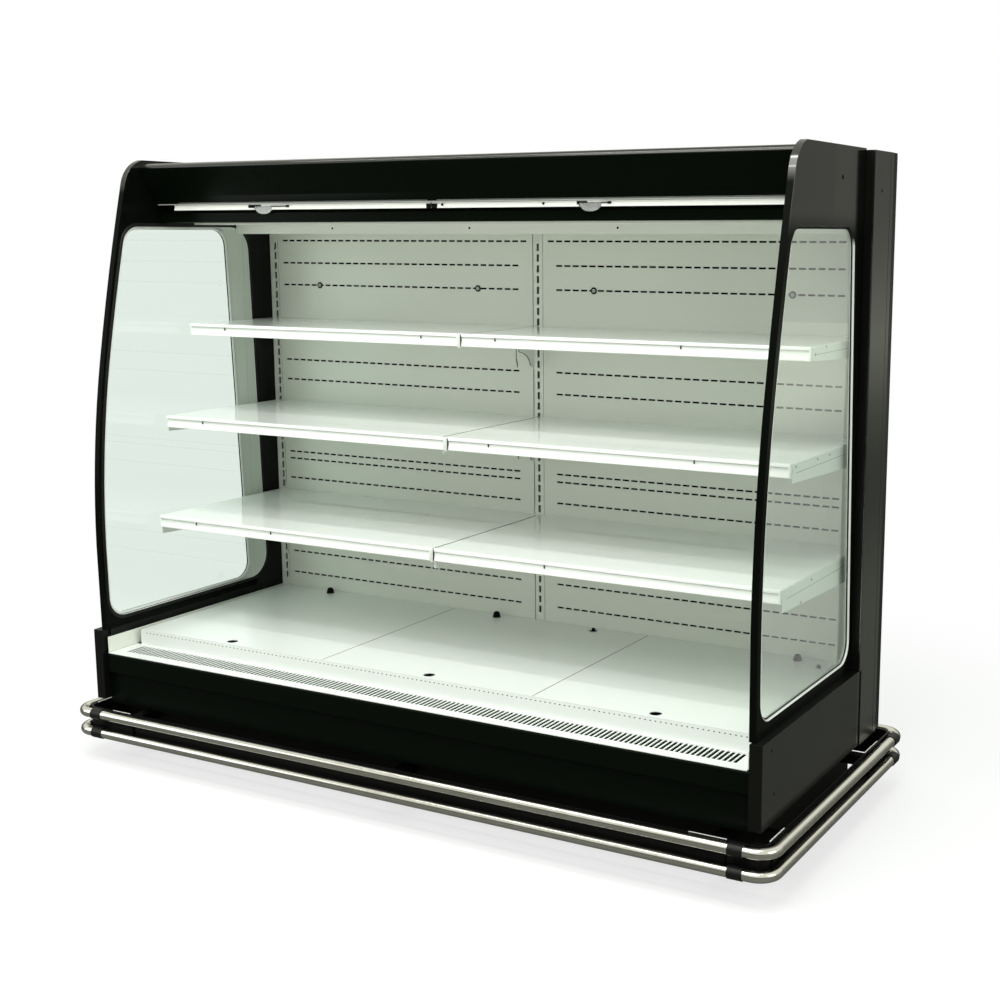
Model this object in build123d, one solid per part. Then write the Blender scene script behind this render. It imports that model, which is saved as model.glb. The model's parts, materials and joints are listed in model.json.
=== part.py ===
from build123d import *
import os
from math import cos, hypot, pi, radians, sin

os.makedirs("parts", exist_ok=True)

# Driving dimensions in millimetres. x = 0 is the middle of the case, y = 0 the front
# face of the end posts, z = 0 the floor. Everything is moved at the end so that the
# origin lies under the middle of the whole object.

# sheet metal and fits
sheet = 2.0
thin_sheet = 1.2
run_gap = 0.3
shaft_gap = 0.05
edge_round = 3.0

# end walls, posts and rear columns
end_x = 1000.0
end_wall = 37.0
post_wide = 31.0
post_deep = 30.0
base_foot_z = 165.0
base_top_z = 362.0
base_rear_y = 641.0
column_front_y = 628.0
column_deep = 142.0
column_proud = 3.0
column_top_z = 1640.0

# curved end frames and their glass
frame_thick = 17.0
frame_foot_y = 12.0
frame_straight_y = 10.0
frame_straight_z = 600.0
frame_bow_y = 60.0
frame_bow_z = 1100.0
frame_bow_sag = 11.4
frame_brow_y = 170.0
frame_brow_down = 60.0
frame_brow_sag = 4.3
frame_nose_y = 237.0
frame_nose_sag = 13.0
frame_rise = 4.0
window_margin = 20.0
window_low_z = 392.0
window_down = 178.0
window_rear_top_y = 560.0
window_rear_low_y = 607.0
window_corner = 55.0
reveal_top = 85.0
reveal_low = 69.0
reveal_corner = 70.0
frame_land = 5.0
jamb_wall = 6.0
seal_wide = 8.0
seal_thick = 19.0
seal_grip = 4.0
glass_thick = 6.0

# insulated body
tub_foot_z = 150.0
tub_floor_z = 200.0
tub_rim_z = 298.0
tub_front_y = 25.0
tub_front_wall = 20.0
tub_side_wall = 33.0
back_inner_y = 785.0
back_outer_y = 836.0
flange_front_y = 773.0
flange_rear_y = 807.0
lid_thick = 34.0
lid_down = 6.0

# black front: nosing over the recessed lower panel
nosing_y = 11.0
nosing_foot_z = 243.0
nosing_top_z = 296.0
nosing_return = 16.0
panel_foot_z = 152.0

# return air grille and riser
grille_front_y = 12.0
slot_front_y = 45.0
slot_long = 50.0
slot_wide = 6.0
slot_pitch = 13.0
slot_end_margin = 16.0
riser_y = 120.0
riser_ledge = 12.0
riser_seat = 10.0

# deck
deck_top_z = 342.0
deck_overhang = 10.0
deck_rear_gap = 1.0
deck_seams = (-295.0, 351.0)
deck_skirt = 20.0
finger_hole = 30.0
finger_hole_y = 146.0
finger_hole_x = (-626.0, 30.0, 672.0)
drain_hole = 24.0
drain_hole_y = 715.0
drain_hole_x = (-744.0, -130.0, 192.0, 800.0)

# white side liners
liner_thick = 3.0
liner_top_z = 341.0
liner_front_y = 15.0

# rear wall: uprights and air panels
wall_y = 748.0
panel_foot_rear_z = 320.0
panel_ledge = 20.0
ceiling_step = 26.0
upright_wide = 30.0
upright_inset = 17.0
notch_pitch = 29.5
notch_tall = 20.0
notch_wide = 6.4
notch_first_z = 365.0
plug_radius = 9.0
plug_proud = 3.0
plug_down = 349.0
plug_x = (-770.0, -199.0, 178.0, 752.0)

# shelves: name, front edge y, top z, bracket depth at the front and at the wall
shelf_rows = (
    ("top", 371.0, 1190.0, 33.0, 50.0),
    ("middle", 259.5, 935.0, 45.0, 63.0),
    ("bottom", 215.0, 653.5, 54.0, 73.0),
)
shelf_end_x = 944.4
shelf_joint_x = 3.2
shelf_skirt = 24.0
bracket_thick = 2.5
bracket_ledge = 12.0
bracket_setback = 25.0
rail_tall = 33.0
rail_deep = 8.0

# canopy: fascia, air outlet and ceiling
fascia_top_y = 223.0
fascia_top_down = 18.0
fascia_foot_y = 272.0
fascia_foot_down = 92.0
fascia_lip_down = 120.0
fascia_crown_y = 237.0
outlet_front_y = 300.0
outlet_rear_y = 427.0
outlet_down = 165.0
outlet_thick = 25.0
duct_step_down = 95.0
duct_step_y = 342.0
ceiling_down = 170.0
ceiling_step_y = 600.0

# night blinds
blind_split_x = -33.0
blind_split_gap = 4.0
bar_left_x = -898.0
bar_right_x = 955.0
bar_y = 284.0
bar_deep = 8.0
bar_down = 132.0
bar_tall = 14.0
roller_radius = 13.0
roll_radius = 18.0
roller_y = 316.5
roller_down = 74.0
bearing_thick = 4.0
spindle_radius = 4.0
cloth_thick = 0.6
blind_down_y = 15.0
blind_down_z = 312.0
handle_radius = 30.0
handle_drop = 12.0
handle_thick = 4.0
handle_x = (-579.0, 421.0)

# cold parts below the deck
fan_plate_y = 238.0
fan_x = (-470.0, 470.0)
fan_z = 259.0
fan_radius = 50.0
fan_tip_gap = 4.0
fan_hub_radius = 18.0
fan_hub_long = 16.0
fan_hub_y = 232.0
fan_blades = 5
blade_thick = 2.0
blade_pitch = 25.0
motor_radius = 30.0
motor_long = 45.0
motor_front_y = 184.0
motor_arm_wide = 12.0
shaft_radius = 4.0
coil_front_y = 340.0
coil_deep = 240.0
coil_tall = 100.0
coil_end_gap = 60.0
coil_foot_z = 203.0
fin_pitch = 30.0
fin_thick = 1.5
coil_tubes = 5
coil_tube_radius = 6.0

# services under the tub
drain_x = 0.0
drain_y = 660.0
drain_radius = 16.0
drain_long = 40.0
drain_bore = 12.0
drain_shoulder = 3.0
drain_flange = 10.0
terminal_x = 620.0
terminal_wide = 240.0
terminal_long = 90.0
terminal_tall = 70.0
terminal_rear_y = 680.0
gland_radius = 11.0
gland_bore = 5.0
gland_long = 22.0

# base frame and feet
rail_inset = 65.0
rail_front_y = 105.0
rail_rear_y = 760.0
rail_wide = 50.0
rail_foot_z = 36.0
cross_x = 310.0
foot_inset = 120.0
foot_pad_radius = 32.0
foot_pad_tall = 14.0
foot_stem_radius = 8.0
foot_nut_radius = 13.0
foot_nut_tall = 9.0

# bumper: two steel tubes round the foot of the case
bumper_out = 38.0
bumper_radius = 13.5
bumper_wall = 1.5
bumper_high_z = 133.5
bumper_low_z = 81.0
bumper_corner = 45.0
bumper_rear_y = 874.5
bumper_return_x = 900.0
sleeve_x = 941.0
sleeve_long = 36.0
sleeve_y = 792.0
sleeve_wall = 2.0
bracket_out = 20.0
bracket_long = 88.0
bracket_tall = 76.0
bracket_top_z = 145.0
bracket_x = (-888.0, 882.0)
bracket_y = (57.0, 700.0)
backing_thick = 5.0
outrigger_wide = 30.0
outrigger_x = (-888.0, 0.0, 882.0)
outrigger_y = (125.0, 700.0)

# sizes worked out from the values above
inner_x = end_x - end_wall
post_inner_x = end_x - post_wide
column_rear_y = column_front_y + column_deep
tub_half = inner_x - run_gap
upright_x = inner_x - upright_inset
rail_x = end_x - rail_inset
foot_x = (-(end_x - foot_inset), 0.0, end_x - foot_inset)
rim_half = inner_x - tub_side_wall
deck_half = rim_half + deck_overhang
coil_half = rim_half - coil_end_gap
frame_top_z = column_top_z + frame_rise
frame_brow_z = column_top_z - frame_brow_down
window_high_z = column_top_z - window_down
canopy_top_z = column_top_z - lid_down
canopy_under_z = canopy_top_z - lid_thick
fascia_top_z = column_top_z - fascia_top_down
fascia_foot_z = column_top_z - fascia_foot_down
fascia_lip_z = column_top_z - fascia_lip_down
outlet_z = column_top_z - outlet_down
duct_step_z = column_top_z - duct_step_down
ceiling_z = column_top_z - ceiling_down
ceiling_foot_z = ceiling_z - ceiling_step
bar_foot_z = column_top_z - bar_down
roller_z = column_top_z - roller_down
plug_z = column_top_z - plug_down
notch_count = int((ceiling_foot_z - notch_first_z - notch_tall) / notch_pitch) + 1
deck_front_y = riser_y
deck_rear_y = wall_y - sheet - deck_rear_gap
lid_front_y = fascia_crown_y + 2 * sheet
origin_y = (bumper_rear_y - bumper_out - sleeve_wall) / 2
blind_run = hypot(blind_down_y - bar_y, blind_down_z - bar_foot_z)
blind_dir_y = (blind_down_y - bar_y) / blind_run
blind_dir_z = (blind_down_z - bar_foot_z) / blind_run

made = {}


def keep(name, *solids):
    """Store a node's solids under its name."""
    made[name] = list(solids)


def block(x0, x1, y0, y1, z0, z1):
    """A box between two corners."""
    middle = ((x0 + x1) / 2, (y0 + y1) / 2, (z0 + z1) / 2)
    return Pos(*middle) * Box(abs(x1 - x0), abs(y1 - y0), abs(z1 - z0))


def rod(start, end, radius):
    """A round bar between two points."""
    way = Vector(*end) - Vector(*start)
    plane = Plane(origin=start, z_dir=way)
    return extrude(plane * Circle(radius), amount=way.length)


def pipe(start, end, radius, bore):
    """A round tube between two points."""
    return rod(start, end, radius) - rod(start, end, bore)


def slab(x0, x1, outline):
    """A flat outline of (y, z) corners made x0 to x1 thick."""
    face = Face(Wire.make_polygon([(x0, y, z) for y, z in outline]))
    return extrude(face, amount=x1 - x0, dir=(1, 0, 0))


def folded(x0, x1, line, thick):
    """A folded sheet: a line of (y, z) corners thickened to its left."""
    edges = list(zip(line, line[1:]))
    sides = []
    for (y0, z0), (y1, z1) in edges:
        run = hypot(y1 - y0, z1 - z0)
        sides.append(((z0 - z1) / run, (y1 - y0) / run))
    offset = []
    for place, (y, z) in enumerate(line):
        before = sides[max(place - 1, 0)]
        after = sides[min(place, len(sides) - 1)]
        share = thick / (1 + before[0] * after[0] + before[1] * after[1])
        offset.append((y + share * (before[0] + after[0]), z + share * (before[1] + after[1])))
    return slab(x0, x1, list(line) + offset[::-1])


def both(shape):
    """A right-hand piece and its mirror image on the left."""
    return mirror(shape, about=Plane.YZ), shape


def between(a, b, sag):
    """The middle point of a shallow arc from a to b, pushed out to the front by sag."""
    run = hypot(b[0] - a[0], b[1] - a[1])
    out_y = -(b[1] - a[1]) / run
    out_z = (b[0] - a[0]) / run
    return ((a[0] + b[0]) / 2 + sag * out_y, (a[1] + b[1]) / 2 + sag * out_z)


def side_arc(a, b, sag, x):
    """An arc in the side view at x."""
    middle = between(a, b, sag)
    return ThreePointArc((x, *a), (x, *middle), (x, *b))


# ---------------------------------------------------------------- end walls

def side_base():
    """Insulated lower end wall with the square post at its front."""
    post = block(post_inner_x, end_x, 0, post_deep, base_foot_z, base_top_z)
    wall = block(inner_x, end_x, post_deep - sheet, base_rear_y, base_foot_z, base_top_z)
    case = fillet((post + wall).edges().filter_by(Axis.Z).group_by(Axis.X)[-1], edge_round)
    return case - block(inner_x + sheet, end_x - sheet, post_deep, base_rear_y - sheet,
                        base_foot_z, base_top_z - sheet)


def rear_column():
    """Tall rear column; its foot steps back behind the lower end wall."""
    top = block(inner_x, end_x + column_proud, column_front_y, column_rear_y,
                base_top_z + run_gap, column_top_z)
    foot = block(inner_x, end_x + column_proud, base_rear_y + sheet, column_rear_y,
                 base_foot_z, base_top_z + run_gap)
    hollow = block(inner_x + sheet, end_x + column_proud - sheet, base_rear_y + 2 * sheet,
                   column_rear_y - sheet, base_foot_z, column_top_z - sheet)
    jamb = block(inner_x, inner_x + frame_thick - frame_land, column_front_y,
                 window_rear_low_y + reveal_low + jamb_wall, window_low_z - jamb_wall,
                 window_high_z + jamb_wall)
    return top + foot - (hollow - jamb) - window_reveal()


def front_corners(inset, low_z, high_z):
    """Corners of the curved front line, moved back by inset, from low_z to high_z."""
    line = [(frame_foot_y + inset, low_z), (frame_straight_y + inset, frame_straight_z),
            (frame_bow_y + inset, frame_bow_z)]
    share = (high_z - frame_bow_z) / (frame_brow_z - frame_bow_z)
    line.append((frame_bow_y + inset + share * (frame_brow_y - frame_bow_y), high_z))
    return line


def frame_blank(x):
    """The end frame's outline in the side view."""
    foot_z = base_top_z + run_gap
    foot, straight, bow, brow = front_corners(0, foot_z, frame_brow_z)
    nose = (frame_nose_y, frame_top_z)
    rear = column_front_y - run_gap
    edges = [
        Line((x, *foot), (x, *straight)),
        side_arc(straight, bow, frame_bow_sag, x),
        side_arc(bow, brow, frame_brow_sag, x),
        side_arc(brow, nose, frame_nose_sag, x),
        Line((x, *nose), (x, rear, frame_top_z)),
        Line((x, rear, frame_top_z), (x, rear, foot_z)),
        Line((x, rear, foot_z), (x, *foot)),
    ]
    return Face(Wire(edges))


def window(x, inset, splayed=False):
    """The window's outline, drawn in by inset all round; splayed for its inner rear edge."""
    low = window_low_z + inset
    high = window_high_z - inset
    foot, straight, bow, brow = front_corners(window_margin + inset, low, high)
    rear_top = window_rear_top_y - inset + (reveal_top if splayed else 0)
    rear_low = window_rear_low_y - inset + (reveal_low if splayed else 0)
    share = (high - frame_bow_z) / (frame_brow_z - frame_bow_z)
    edges = [
        Line((x, *foot), (x, *straight)),
        side_arc(straight, bow, frame_bow_sag, x),
        side_arc(bow, brow, frame_brow_sag * share * share, x),
        Line((x, *brow), (x, rear_top, high)),
        Line((x, rear_top, high), (x, rear_low, low)),
        Line((x, rear_low, low), (x, *foot)),
    ]
    face = Face(Wire(edges))
    rear_side_y = window_rear_top_y - window_corner
    rear_corner = reveal_corner if splayed else window_corner - inset
    for radius, at_rear in ((window_corner - inset, False), (rear_corner, True)):
        corners = [v for v in face.vertices()
                   if min(abs(v.Z - low), abs(v.Z - high)) < 1
                   and (v.Y > rear_side_y) == at_rear]
        face = face.fillet_2d(radius, corners)
    return face


def window_reveal():
    """The opening through the end, splayed to the rear on the cold side."""
    land_x = inner_x + frame_thick - frame_land
    splay = loft([window(inner_x, 0, True), window(land_x, 0)], ruled=True)
    return splay + extrude(window(land_x, 0), amount=frame_land, dir=(1, 0, 0))


def end_frame():
    """Curved black frame of the glazed end."""
    blank = extrude(frame_blank(inner_x), amount=frame_thick, dir=(1, 0, 0))
    return blank - window_reveal()


def end_glass():
    """Clear pane held in the seal."""
    x = inner_x + (frame_thick - glass_thick) / 2
    return extrude(window(x, seal_wide - seal_grip), amount=glass_thick, dir=(1, 0, 0))


def glass_seal(pane):
    """Rubber seal between the frame and the pane, with a groove for the pane."""
    x = inner_x + (frame_thick - seal_thick) / 2 + sheet / 2
    ring = extrude(window(x, run_gap), amount=seal_thick, dir=(1, 0, 0))
    ring -= extrude(window(x, seal_wide), amount=seal_thick, dir=(1, 0, 0))
    return ring - pane


def make_ends():
    """Both ends of the case."""
    for name, make in (("side_base", side_base), ("rear_column", rear_column),
                       ("end_frame", end_frame), ("end_glass", end_glass)):
        left, right = both(make())
        keep(name + "_left", left)
        keep(name + "_right", right)
    keep("glass_seals", *both(glass_seal(made["end_glass_right"][0])))
    liner = block(inner_x - liner_thick, inner_x, liner_front_y, wall_y - sheet,
                  tub_rim_z, liner_top_z)
    keep("side_liners", *both(liner))


# ----------------------------------------------------------- insulated body

def insulated_tub():
    """Foamed trough that holds the coil and the fans."""
    outer = block(-tub_half, tub_half, tub_front_y, back_outer_y, tub_foot_z, tub_rim_z)
    hollow = block(-rim_half, rim_half, tub_front_y + tub_front_wall, back_inner_y,
                   tub_floor_z, tub_rim_z)
    drain = rod((drain_x, drain_y, tub_foot_z), (drain_x, drain_y, tub_floor_z),
                drain_radius + drain_shoulder + run_gap)
    nosing_rear = nosing_y + nosing_return + run_gap
    nosing_seat = block(-tub_half, tub_half, tub_front_y, nosing_rear,
                        nosing_top_z - sheet, tub_rim_z)
    grille_seat = block(-tub_half, tub_half, nosing_rear, riser_y + sheet,
                        nosing_top_z, tub_rim_z)
    return outer - hollow - drain - nosing_seat - grille_seat


def insulated_back():
    """Foamed rear wall with the side flanges that close the columns."""
    wall = block(-inner_x, inner_x, back_inner_y, back_outer_y, tub_rim_z, canopy_under_z)
    flange = block(inner_x, end_x, flange_front_y, flange_rear_y, base_foot_z, column_top_z)
    for side in both(flange):
        wall += side
    return wall


def make_body():
    """Trough, rear wall, canopy lid and the black front."""
    keep("insulated_tub", insulated_tub())
    keep("insulated_back", insulated_back())
    keep("canopy_top", block(-inner_x, inner_x, lid_front_y, back_outer_y,
                             canopy_under_z, canopy_top_z))
    nose = [(nosing_y + nosing_return, nosing_top_z), (nosing_y, nosing_top_z),
            (nosing_y, nosing_foot_z), (tub_front_y, nosing_foot_z)]
    keep("front_nosing", folded(-post_inner_x + run_gap, post_inner_x - run_gap, nose, sheet))
    keep("front_panel", block(-post_inner_x + run_gap, post_inner_x - run_gap,
                              tub_front_y - sheet, tub_front_y, panel_foot_z,
                              nosing_foot_z))


# ------------------------------------------------------------- cold air way

def return_grille():
    """White intake plate with one row of slots across the front."""
    half = inner_x - liner_thick - run_gap
    rear = riser_y - run_gap
    top = [(-half, grille_front_y, nosing_top_z), (half, grille_front_y, nosing_top_z),
           (half, rear, nosing_top_z), (-half, rear, nosing_top_z)]
    count = int((2 * half - 2 * slot_end_margin) / slot_pitch) + 1
    first = -(count - 1) * slot_pitch / 2
    holes = []
    for place in range(count):
        x0 = first + place * slot_pitch - slot_wide / 2
        x1 = x0 + slot_wide
        y0 = slot_front_y
        y1 = slot_front_y + slot_long
        holes.append(Wire.make_polygon([(x0, y0, nosing_top_z), (x1, y0, nosing_top_z),
                                        (x1, y1, nosing_top_z), (x0, y1, nosing_top_z)]))
    plate = Face(Wire.make_polygon(top), holes)
    return extrude(plate, amount=sheet, dir=(0, 0, 1))


def deck_riser():
    """Upstand under the deck's front edge, with the ledge that carries the grille."""
    seat_z = deck_top_z - sheet - run_gap
    web = folded(-deck_half, deck_half,
                 [(riser_y + sheet, tub_rim_z), (riser_y + sheet, seat_z - sheet),
                  (riser_y + riser_seat, seat_z - sheet)], sheet)
    ledge = folded(-rim_half, rim_half,
                   [(riser_y + sheet, tub_rim_z), (riser_y + sheet, nosing_top_z - sheet),
                    (riser_y - riser_ledge, nosing_top_z - sheet)], -sheet)
    return web + ledge


def deck_pan(x0, x1, first, last):
    """One lift-out deck pan: top sheet, rear skirt, side skirts, finger and drain holes."""
    top = block(x0, x1, deck_front_y, deck_rear_y, deck_top_z - sheet, deck_top_z)
    rear = block(x0, x1, deck_rear_y - sheet, deck_rear_y,
                 panel_foot_rear_z + sheet + run_gap, deck_top_z)
    pan = top + rear
    side_front = riser_y + riser_seat + sheet
    for x, outer in ((x0, first), (x1 - sheet, last)):
        low = tub_rim_z + run_gap if outer else deck_top_z - deck_skirt
        front = riser_y + sheet + run_gap if outer else side_front
        side = block(x, x + sheet, front, deck_rear_y, low, deck_top_z)
        if outer:
            side -= block(x, x + sheet, front, side_front, low, deck_top_z - sheet)
        pan += side
    for x in finger_hole_x:
        if x0 < x < x1:
            pan -= rod((x, finger_hole_y, deck_top_z - sheet), (x, finger_hole_y, deck_top_z),
                       finger_hole / 2)
    for x in drain_hole_x:
        if x0 < x < x1:
            pan -= rod((x, drain_hole_y, deck_top_z - sheet), (x, drain_hole_y, deck_top_z),
                       drain_hole / 2)
    return pan


def make_deck():
    """Grille, riser and the three deck pans."""
    keep("return_grille", return_grille())
    keep("deck_riser", deck_riser())
    ends = (-deck_half, *deck_seams, deck_half)
    for place, name in enumerate(("left", "centre", "right")):
        x0 = ends[place] + (0 if place == 0 else run_gap)
        x1 = ends[place + 1] - (0 if place == 2 else run_gap)
        keep("deck_pan_" + name, deck_pan(x0, x1, place == 0, place == 2))


def fan_plate():
    """Plate across the trough with the two fan openings."""
    top = panel_foot_rear_z - sheet
    plate = block(-rim_half, rim_half, fan_plate_y, fan_plate_y + sheet, tub_floor_z, tub_rim_z)
    plate += block(-rim_half + deck_skirt, rim_half - deck_skirt, fan_plate_y,
                   fan_plate_y + sheet, tub_rim_z, top - run_gap)
    for x in fan_x:
        plate -= rod((x, fan_plate_y, fan_z), (x, fan_plate_y + sheet, fan_z),
                     fan_radius + fan_tip_gap)
    return plate


def fan_motor(x):
    """Motor can on three arms, with its shaft."""
    rear = motor_front_y + motor_long
    motor = rod((x, motor_front_y, fan_z), (x, rear, fan_z), motor_radius)
    motor += rod((x, rear, fan_z), (x, fan_hub_y + fan_hub_long + sheet, fan_z), shaft_radius)
    reach = fan_radius + fan_tip_gap
    for turn in (0, 120, 240):
        arm = block(motor_radius - sheet, reach, -motor_arm_wide / 2, motor_arm_wide / 2,
                    -sheet, 0)
        foot = block(reach - sheet, reach, -motor_arm_wide / 2, motor_arm_wide / 2,
                     -sheet, fan_plate_y - rear)
        tab = block(reach - sheet, reach + motor_arm_wide / 2, -motor_arm_wide / 2,
                    motor_arm_wide / 2, fan_plate_y - rear - sheet, fan_plate_y - rear)
        spider = Rot(0, 0, turn) * (arm + foot + tab)
        motor += Pos(x, rear, fan_z) * Rot(-90, 0, 0) * spider
    return motor


def fan_impeller(x):
    """Hub with pitched blades."""
    hub = rod((0, 0, 0), (0, 0, fan_hub_long), fan_hub_radius)
    for place in range(fan_blades):
        blade = block(fan_hub_radius - sheet, fan_radius + sheet, -fan_hub_long, fan_hub_long,
                      -blade_thick / 2, blade_thick / 2)
        blade = Pos(0, 0, fan_hub_long / 2) * Rot(blade_pitch, 0, 0) * blade
        blade &= rod((0, 0, -fan_hub_long), (0, 0, 2 * fan_hub_long), fan_radius)
        hub += Rot(0, 0, 360 * place / fan_blades) * blade
    hub -= rod((0, 0, -fan_hub_long), (0, 0, 2 * fan_hub_long), shaft_radius + shaft_gap)
    return Pos(x, fan_hub_y, fan_z) * Rot(-90, 0, 0) * hub


def evaporator_coil():
    """Fin pack on straight tubes, with a foot strip along the trough floor."""
    count = int(2 * coil_half / fin_pitch)
    pack = block(-coil_half, coil_half, coil_front_y, coil_front_y + coil_deep, tub_floor_z,
                 coil_foot_z + sheet)
    top = coil_foot_z + coil_tall
    for place in range(count + 1):
        x = -coil_half + place * 2 * coil_half / count
        x = min(max(x, -coil_half + fin_thick / 2), coil_half - fin_thick / 2)
        pack += block(x - fin_thick / 2, x + fin_thick / 2, coil_front_y,
                      coil_front_y + coil_deep, coil_foot_z, top)
    for place in range(coil_tubes):
        y = coil_front_y + (place + 0.5) * coil_deep / coil_tubes
        z = coil_foot_z + coil_tall / 2
        pack += rod((-coil_half - deck_skirt, y, z), (coil_half + deck_skirt, y, z),
                    coil_tube_radius)
    return pack


def make_cold_parts():
    """Fans, coil, drain and the terminal box."""
    keep("fan_plate", fan_plate())
    keep("fan_motors", *[fan_motor(x) for x in fan_x])
    for name, x in zip(("left", "right"), fan_x):
        keep("fan_impeller_" + name, fan_impeller(x))
    keep("evaporator_coil", evaporator_coil())
    spout_z = tub_foot_z - drain_long
    spout = rod((drain_x, drain_y, spout_z), (drain_x, drain_y, tub_foot_z), drain_radius)
    spout += rod((drain_x, drain_y, tub_foot_z), (drain_x, drain_y, tub_floor_z),
                 drain_radius + drain_shoulder)
    spout += rod((drain_x, drain_y, tub_floor_z), (drain_x, drain_y, tub_floor_z + sheet),
                 drain_radius + drain_flange)
    spout -= rod((drain_x, drain_y, spout_z), (drain_x, drain_y, tub_floor_z + sheet), drain_bore)
    keep("drain_outlet", spout)
    box = block(terminal_x - terminal_wide / 2, terminal_x + terminal_wide / 2,
                terminal_rear_y - terminal_long, terminal_rear_y,
                tub_foot_z - terminal_tall, tub_foot_z)
    gland_y = terminal_rear_y - terminal_long / 2
    gland_z = tub_foot_z - terminal_tall
    box += rod((terminal_x, gland_y, gland_z - gland_long), (terminal_x, gland_y, gland_z), gland_radius)
    box -= rod((terminal_x, gland_y, gland_z - gland_long), (terminal_x, gland_y, gland_z + gland_long),
               gland_bore)
    keep("terminal_box", box)


# --------------------------------------------------------------- rear wall

def upright(x):
    """Slotted channel that the shelf brackets hook into."""
    half = upright_wide / 2
    low = tub_rim_z
    high = ceiling_foot_z
    y = wall_y - sheet
    rim = Wire.make_polygon([(x - half, y, low), (x + half, y, low),
                             (x + half, y, high), (x - half, y, high)])
    notches = []
    for place in range(notch_count):
        z = notch_first_z + place * notch_pitch
        notches.append(Wire.make_polygon([
            (x - notch_wide / 2, y, z), (x + notch_wide / 2, y, z),
            (x + notch_wide / 2, y, z + notch_tall), (x - notch_wide / 2, y, z + notch_tall)]))
    face = extrude(Face(rim, notches), amount=sheet, dir=(0, 1, 0))
    for side in (x - half, x + half - sheet):
        face += block(side, side + sheet, wall_y, back_inner_y, low, high)
    return face


def back_panel(x0, x1):
    """White rear air panel with a bottom ledge for the deck."""
    line = [(wall_y - panel_ledge, panel_foot_rear_z), (wall_y, panel_foot_rear_z),
            (wall_y, ceiling_foot_z)]
    return folded(x0, x1, line, sheet)


def make_rear_wall():
    """Three uprights and two air panels, with round plugs."""
    keep("uprights", *[upright(x) for x in (-upright_x, 0.0, upright_x)])
    half = upright_wide / 2 + run_gap
    outer = upright_x - half
    for name, x0, x1 in (("left", -outer, -half), ("right", half, outer)):
        keep("back_panel_" + name, back_panel(x0, x1))
    face_y = wall_y - sheet
    plugs = [rod((x, face_y - plug_proud, plug_z), (x, face_y, plug_z), plug_radius)
             for x in plug_x]
    keep("wall_plugs", *plugs)


# ----------------------------------------------------------------- shelves

def shelf(x0, x1, front, top):
    """Folded shelf tray with skirts at its front and ends."""
    rear = wall_y - sheet - run_gap
    first = front + rail_deep
    tray = block(x0, x1, first, rear, top - thin_sheet, top)
    tray += block(x0, x1, first, first + thin_sheet, top - shelf_skirt, top)
    tray += block(x0, x1, rear - thin_sheet, rear, top - shelf_skirt, top)
    for x in (x0, x1 - thin_sheet):
        tray += block(x, x + thin_sheet, first, rear, top - shelf_skirt, top)
    return tray


def shelf_bracket(x, inward, front, top, nose, root):
    """Side plate of a shelf: tapered, hooked into the upright, with a carrying ledge."""
    rear = wall_y - sheet - run_gap
    tip = front + rail_deep + thin_sheet
    plate = slab(x, x + bracket_thick, [
        (tip, top - thin_sheet), (tip, top - nose), (rear, top - root),
        (rear, top - thin_sheet)])
    ledge_top = top - shelf_skirt - run_gap
    x0, x1 = sorted((x + bracket_thick / 2, x + bracket_thick / 2 + inward * bracket_ledge))
    ledge = block(x0, x1, tip + bracket_setback, rear, ledge_top - sheet, ledge_top)
    notches = [notch_first_z + place * notch_pitch for place in range(notch_count)]
    fits = [z for z in notches if top - root < z + notch_tall / 4 < top - notch_tall]
    hooks = []
    for z in fits:
        hooks.append(block(x, x + bracket_thick, rear - sheet, wall_y + 2 * sheet,
                           z + notch_tall / 4, z + 3 * notch_tall / 4))
    bracket = plate + ledge
    for hook in hooks:
        bracket += hook
    return bracket


def ticket_rail(x0, x1, front, top):
    """Price rail along the shelf's front edge: a folded channel with a top lip."""
    low = top - rail_tall
    line = [(front + rail_deep, top), (front, top), (front, low), (front + rail_deep, low)]
    return folded(x0, x1, line, sheet)


def make_shelves():
    """Six shelves in three rows, their brackets and price rails."""
    rails = []
    for name, front, top, nose, root in shelf_rows:
        left, right = both(shelf(shelf_joint_x, shelf_end_x, front, top))
        keep("shelf_" + name + "_left", left)
        keep("shelf_" + name + "_right", right)
        inner = shelf_joint_x - run_gap - bracket_thick
        outer = shelf_end_x + run_gap
        brackets = both(shelf_bracket(inner, 1, front, top, nose, root))
        brackets += both(shelf_bracket(outer, -1, front, top, nose, root))
        keep("shelf_brackets_" + name, *brackets)
        rails += both(ticket_rail(shelf_joint_x, shelf_end_x, front, top))
    keep("ticket_rails", *rails)


# ------------------------------------------------------------------ canopy

def fascia():
    """Leaning black front of the canopy with a rolled top edge and a bottom lip."""
    line = [(fascia_foot_y, fascia_lip_z), (fascia_foot_y, fascia_foot_z),
            (fascia_top_y, fascia_top_z)]
    rise = canopy_top_z - fascia_top_z
    run = fascia_crown_y - fascia_top_y
    for turn in (30, 60, 90):
        line.append((fascia_top_y + run * (1 - cos(radians(turn))),
                     fascia_top_z + rise * sin(radians(turn))))
    line.append((lid_front_y, canopy_top_z))
    return folded(-inner_x, inner_x, line, -sheet)


def duct_front():
    """Sheet between the blind chamber and the air duct."""
    line = [(outlet_front_y - run_gap, outlet_z), (outlet_front_y - run_gap, outlet_z + outlet_thick),
            (duct_step_y, duct_step_z), (duct_step_y, canopy_under_z)]
    return folded(-inner_x, inner_x, line, thin_sheet)


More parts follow.
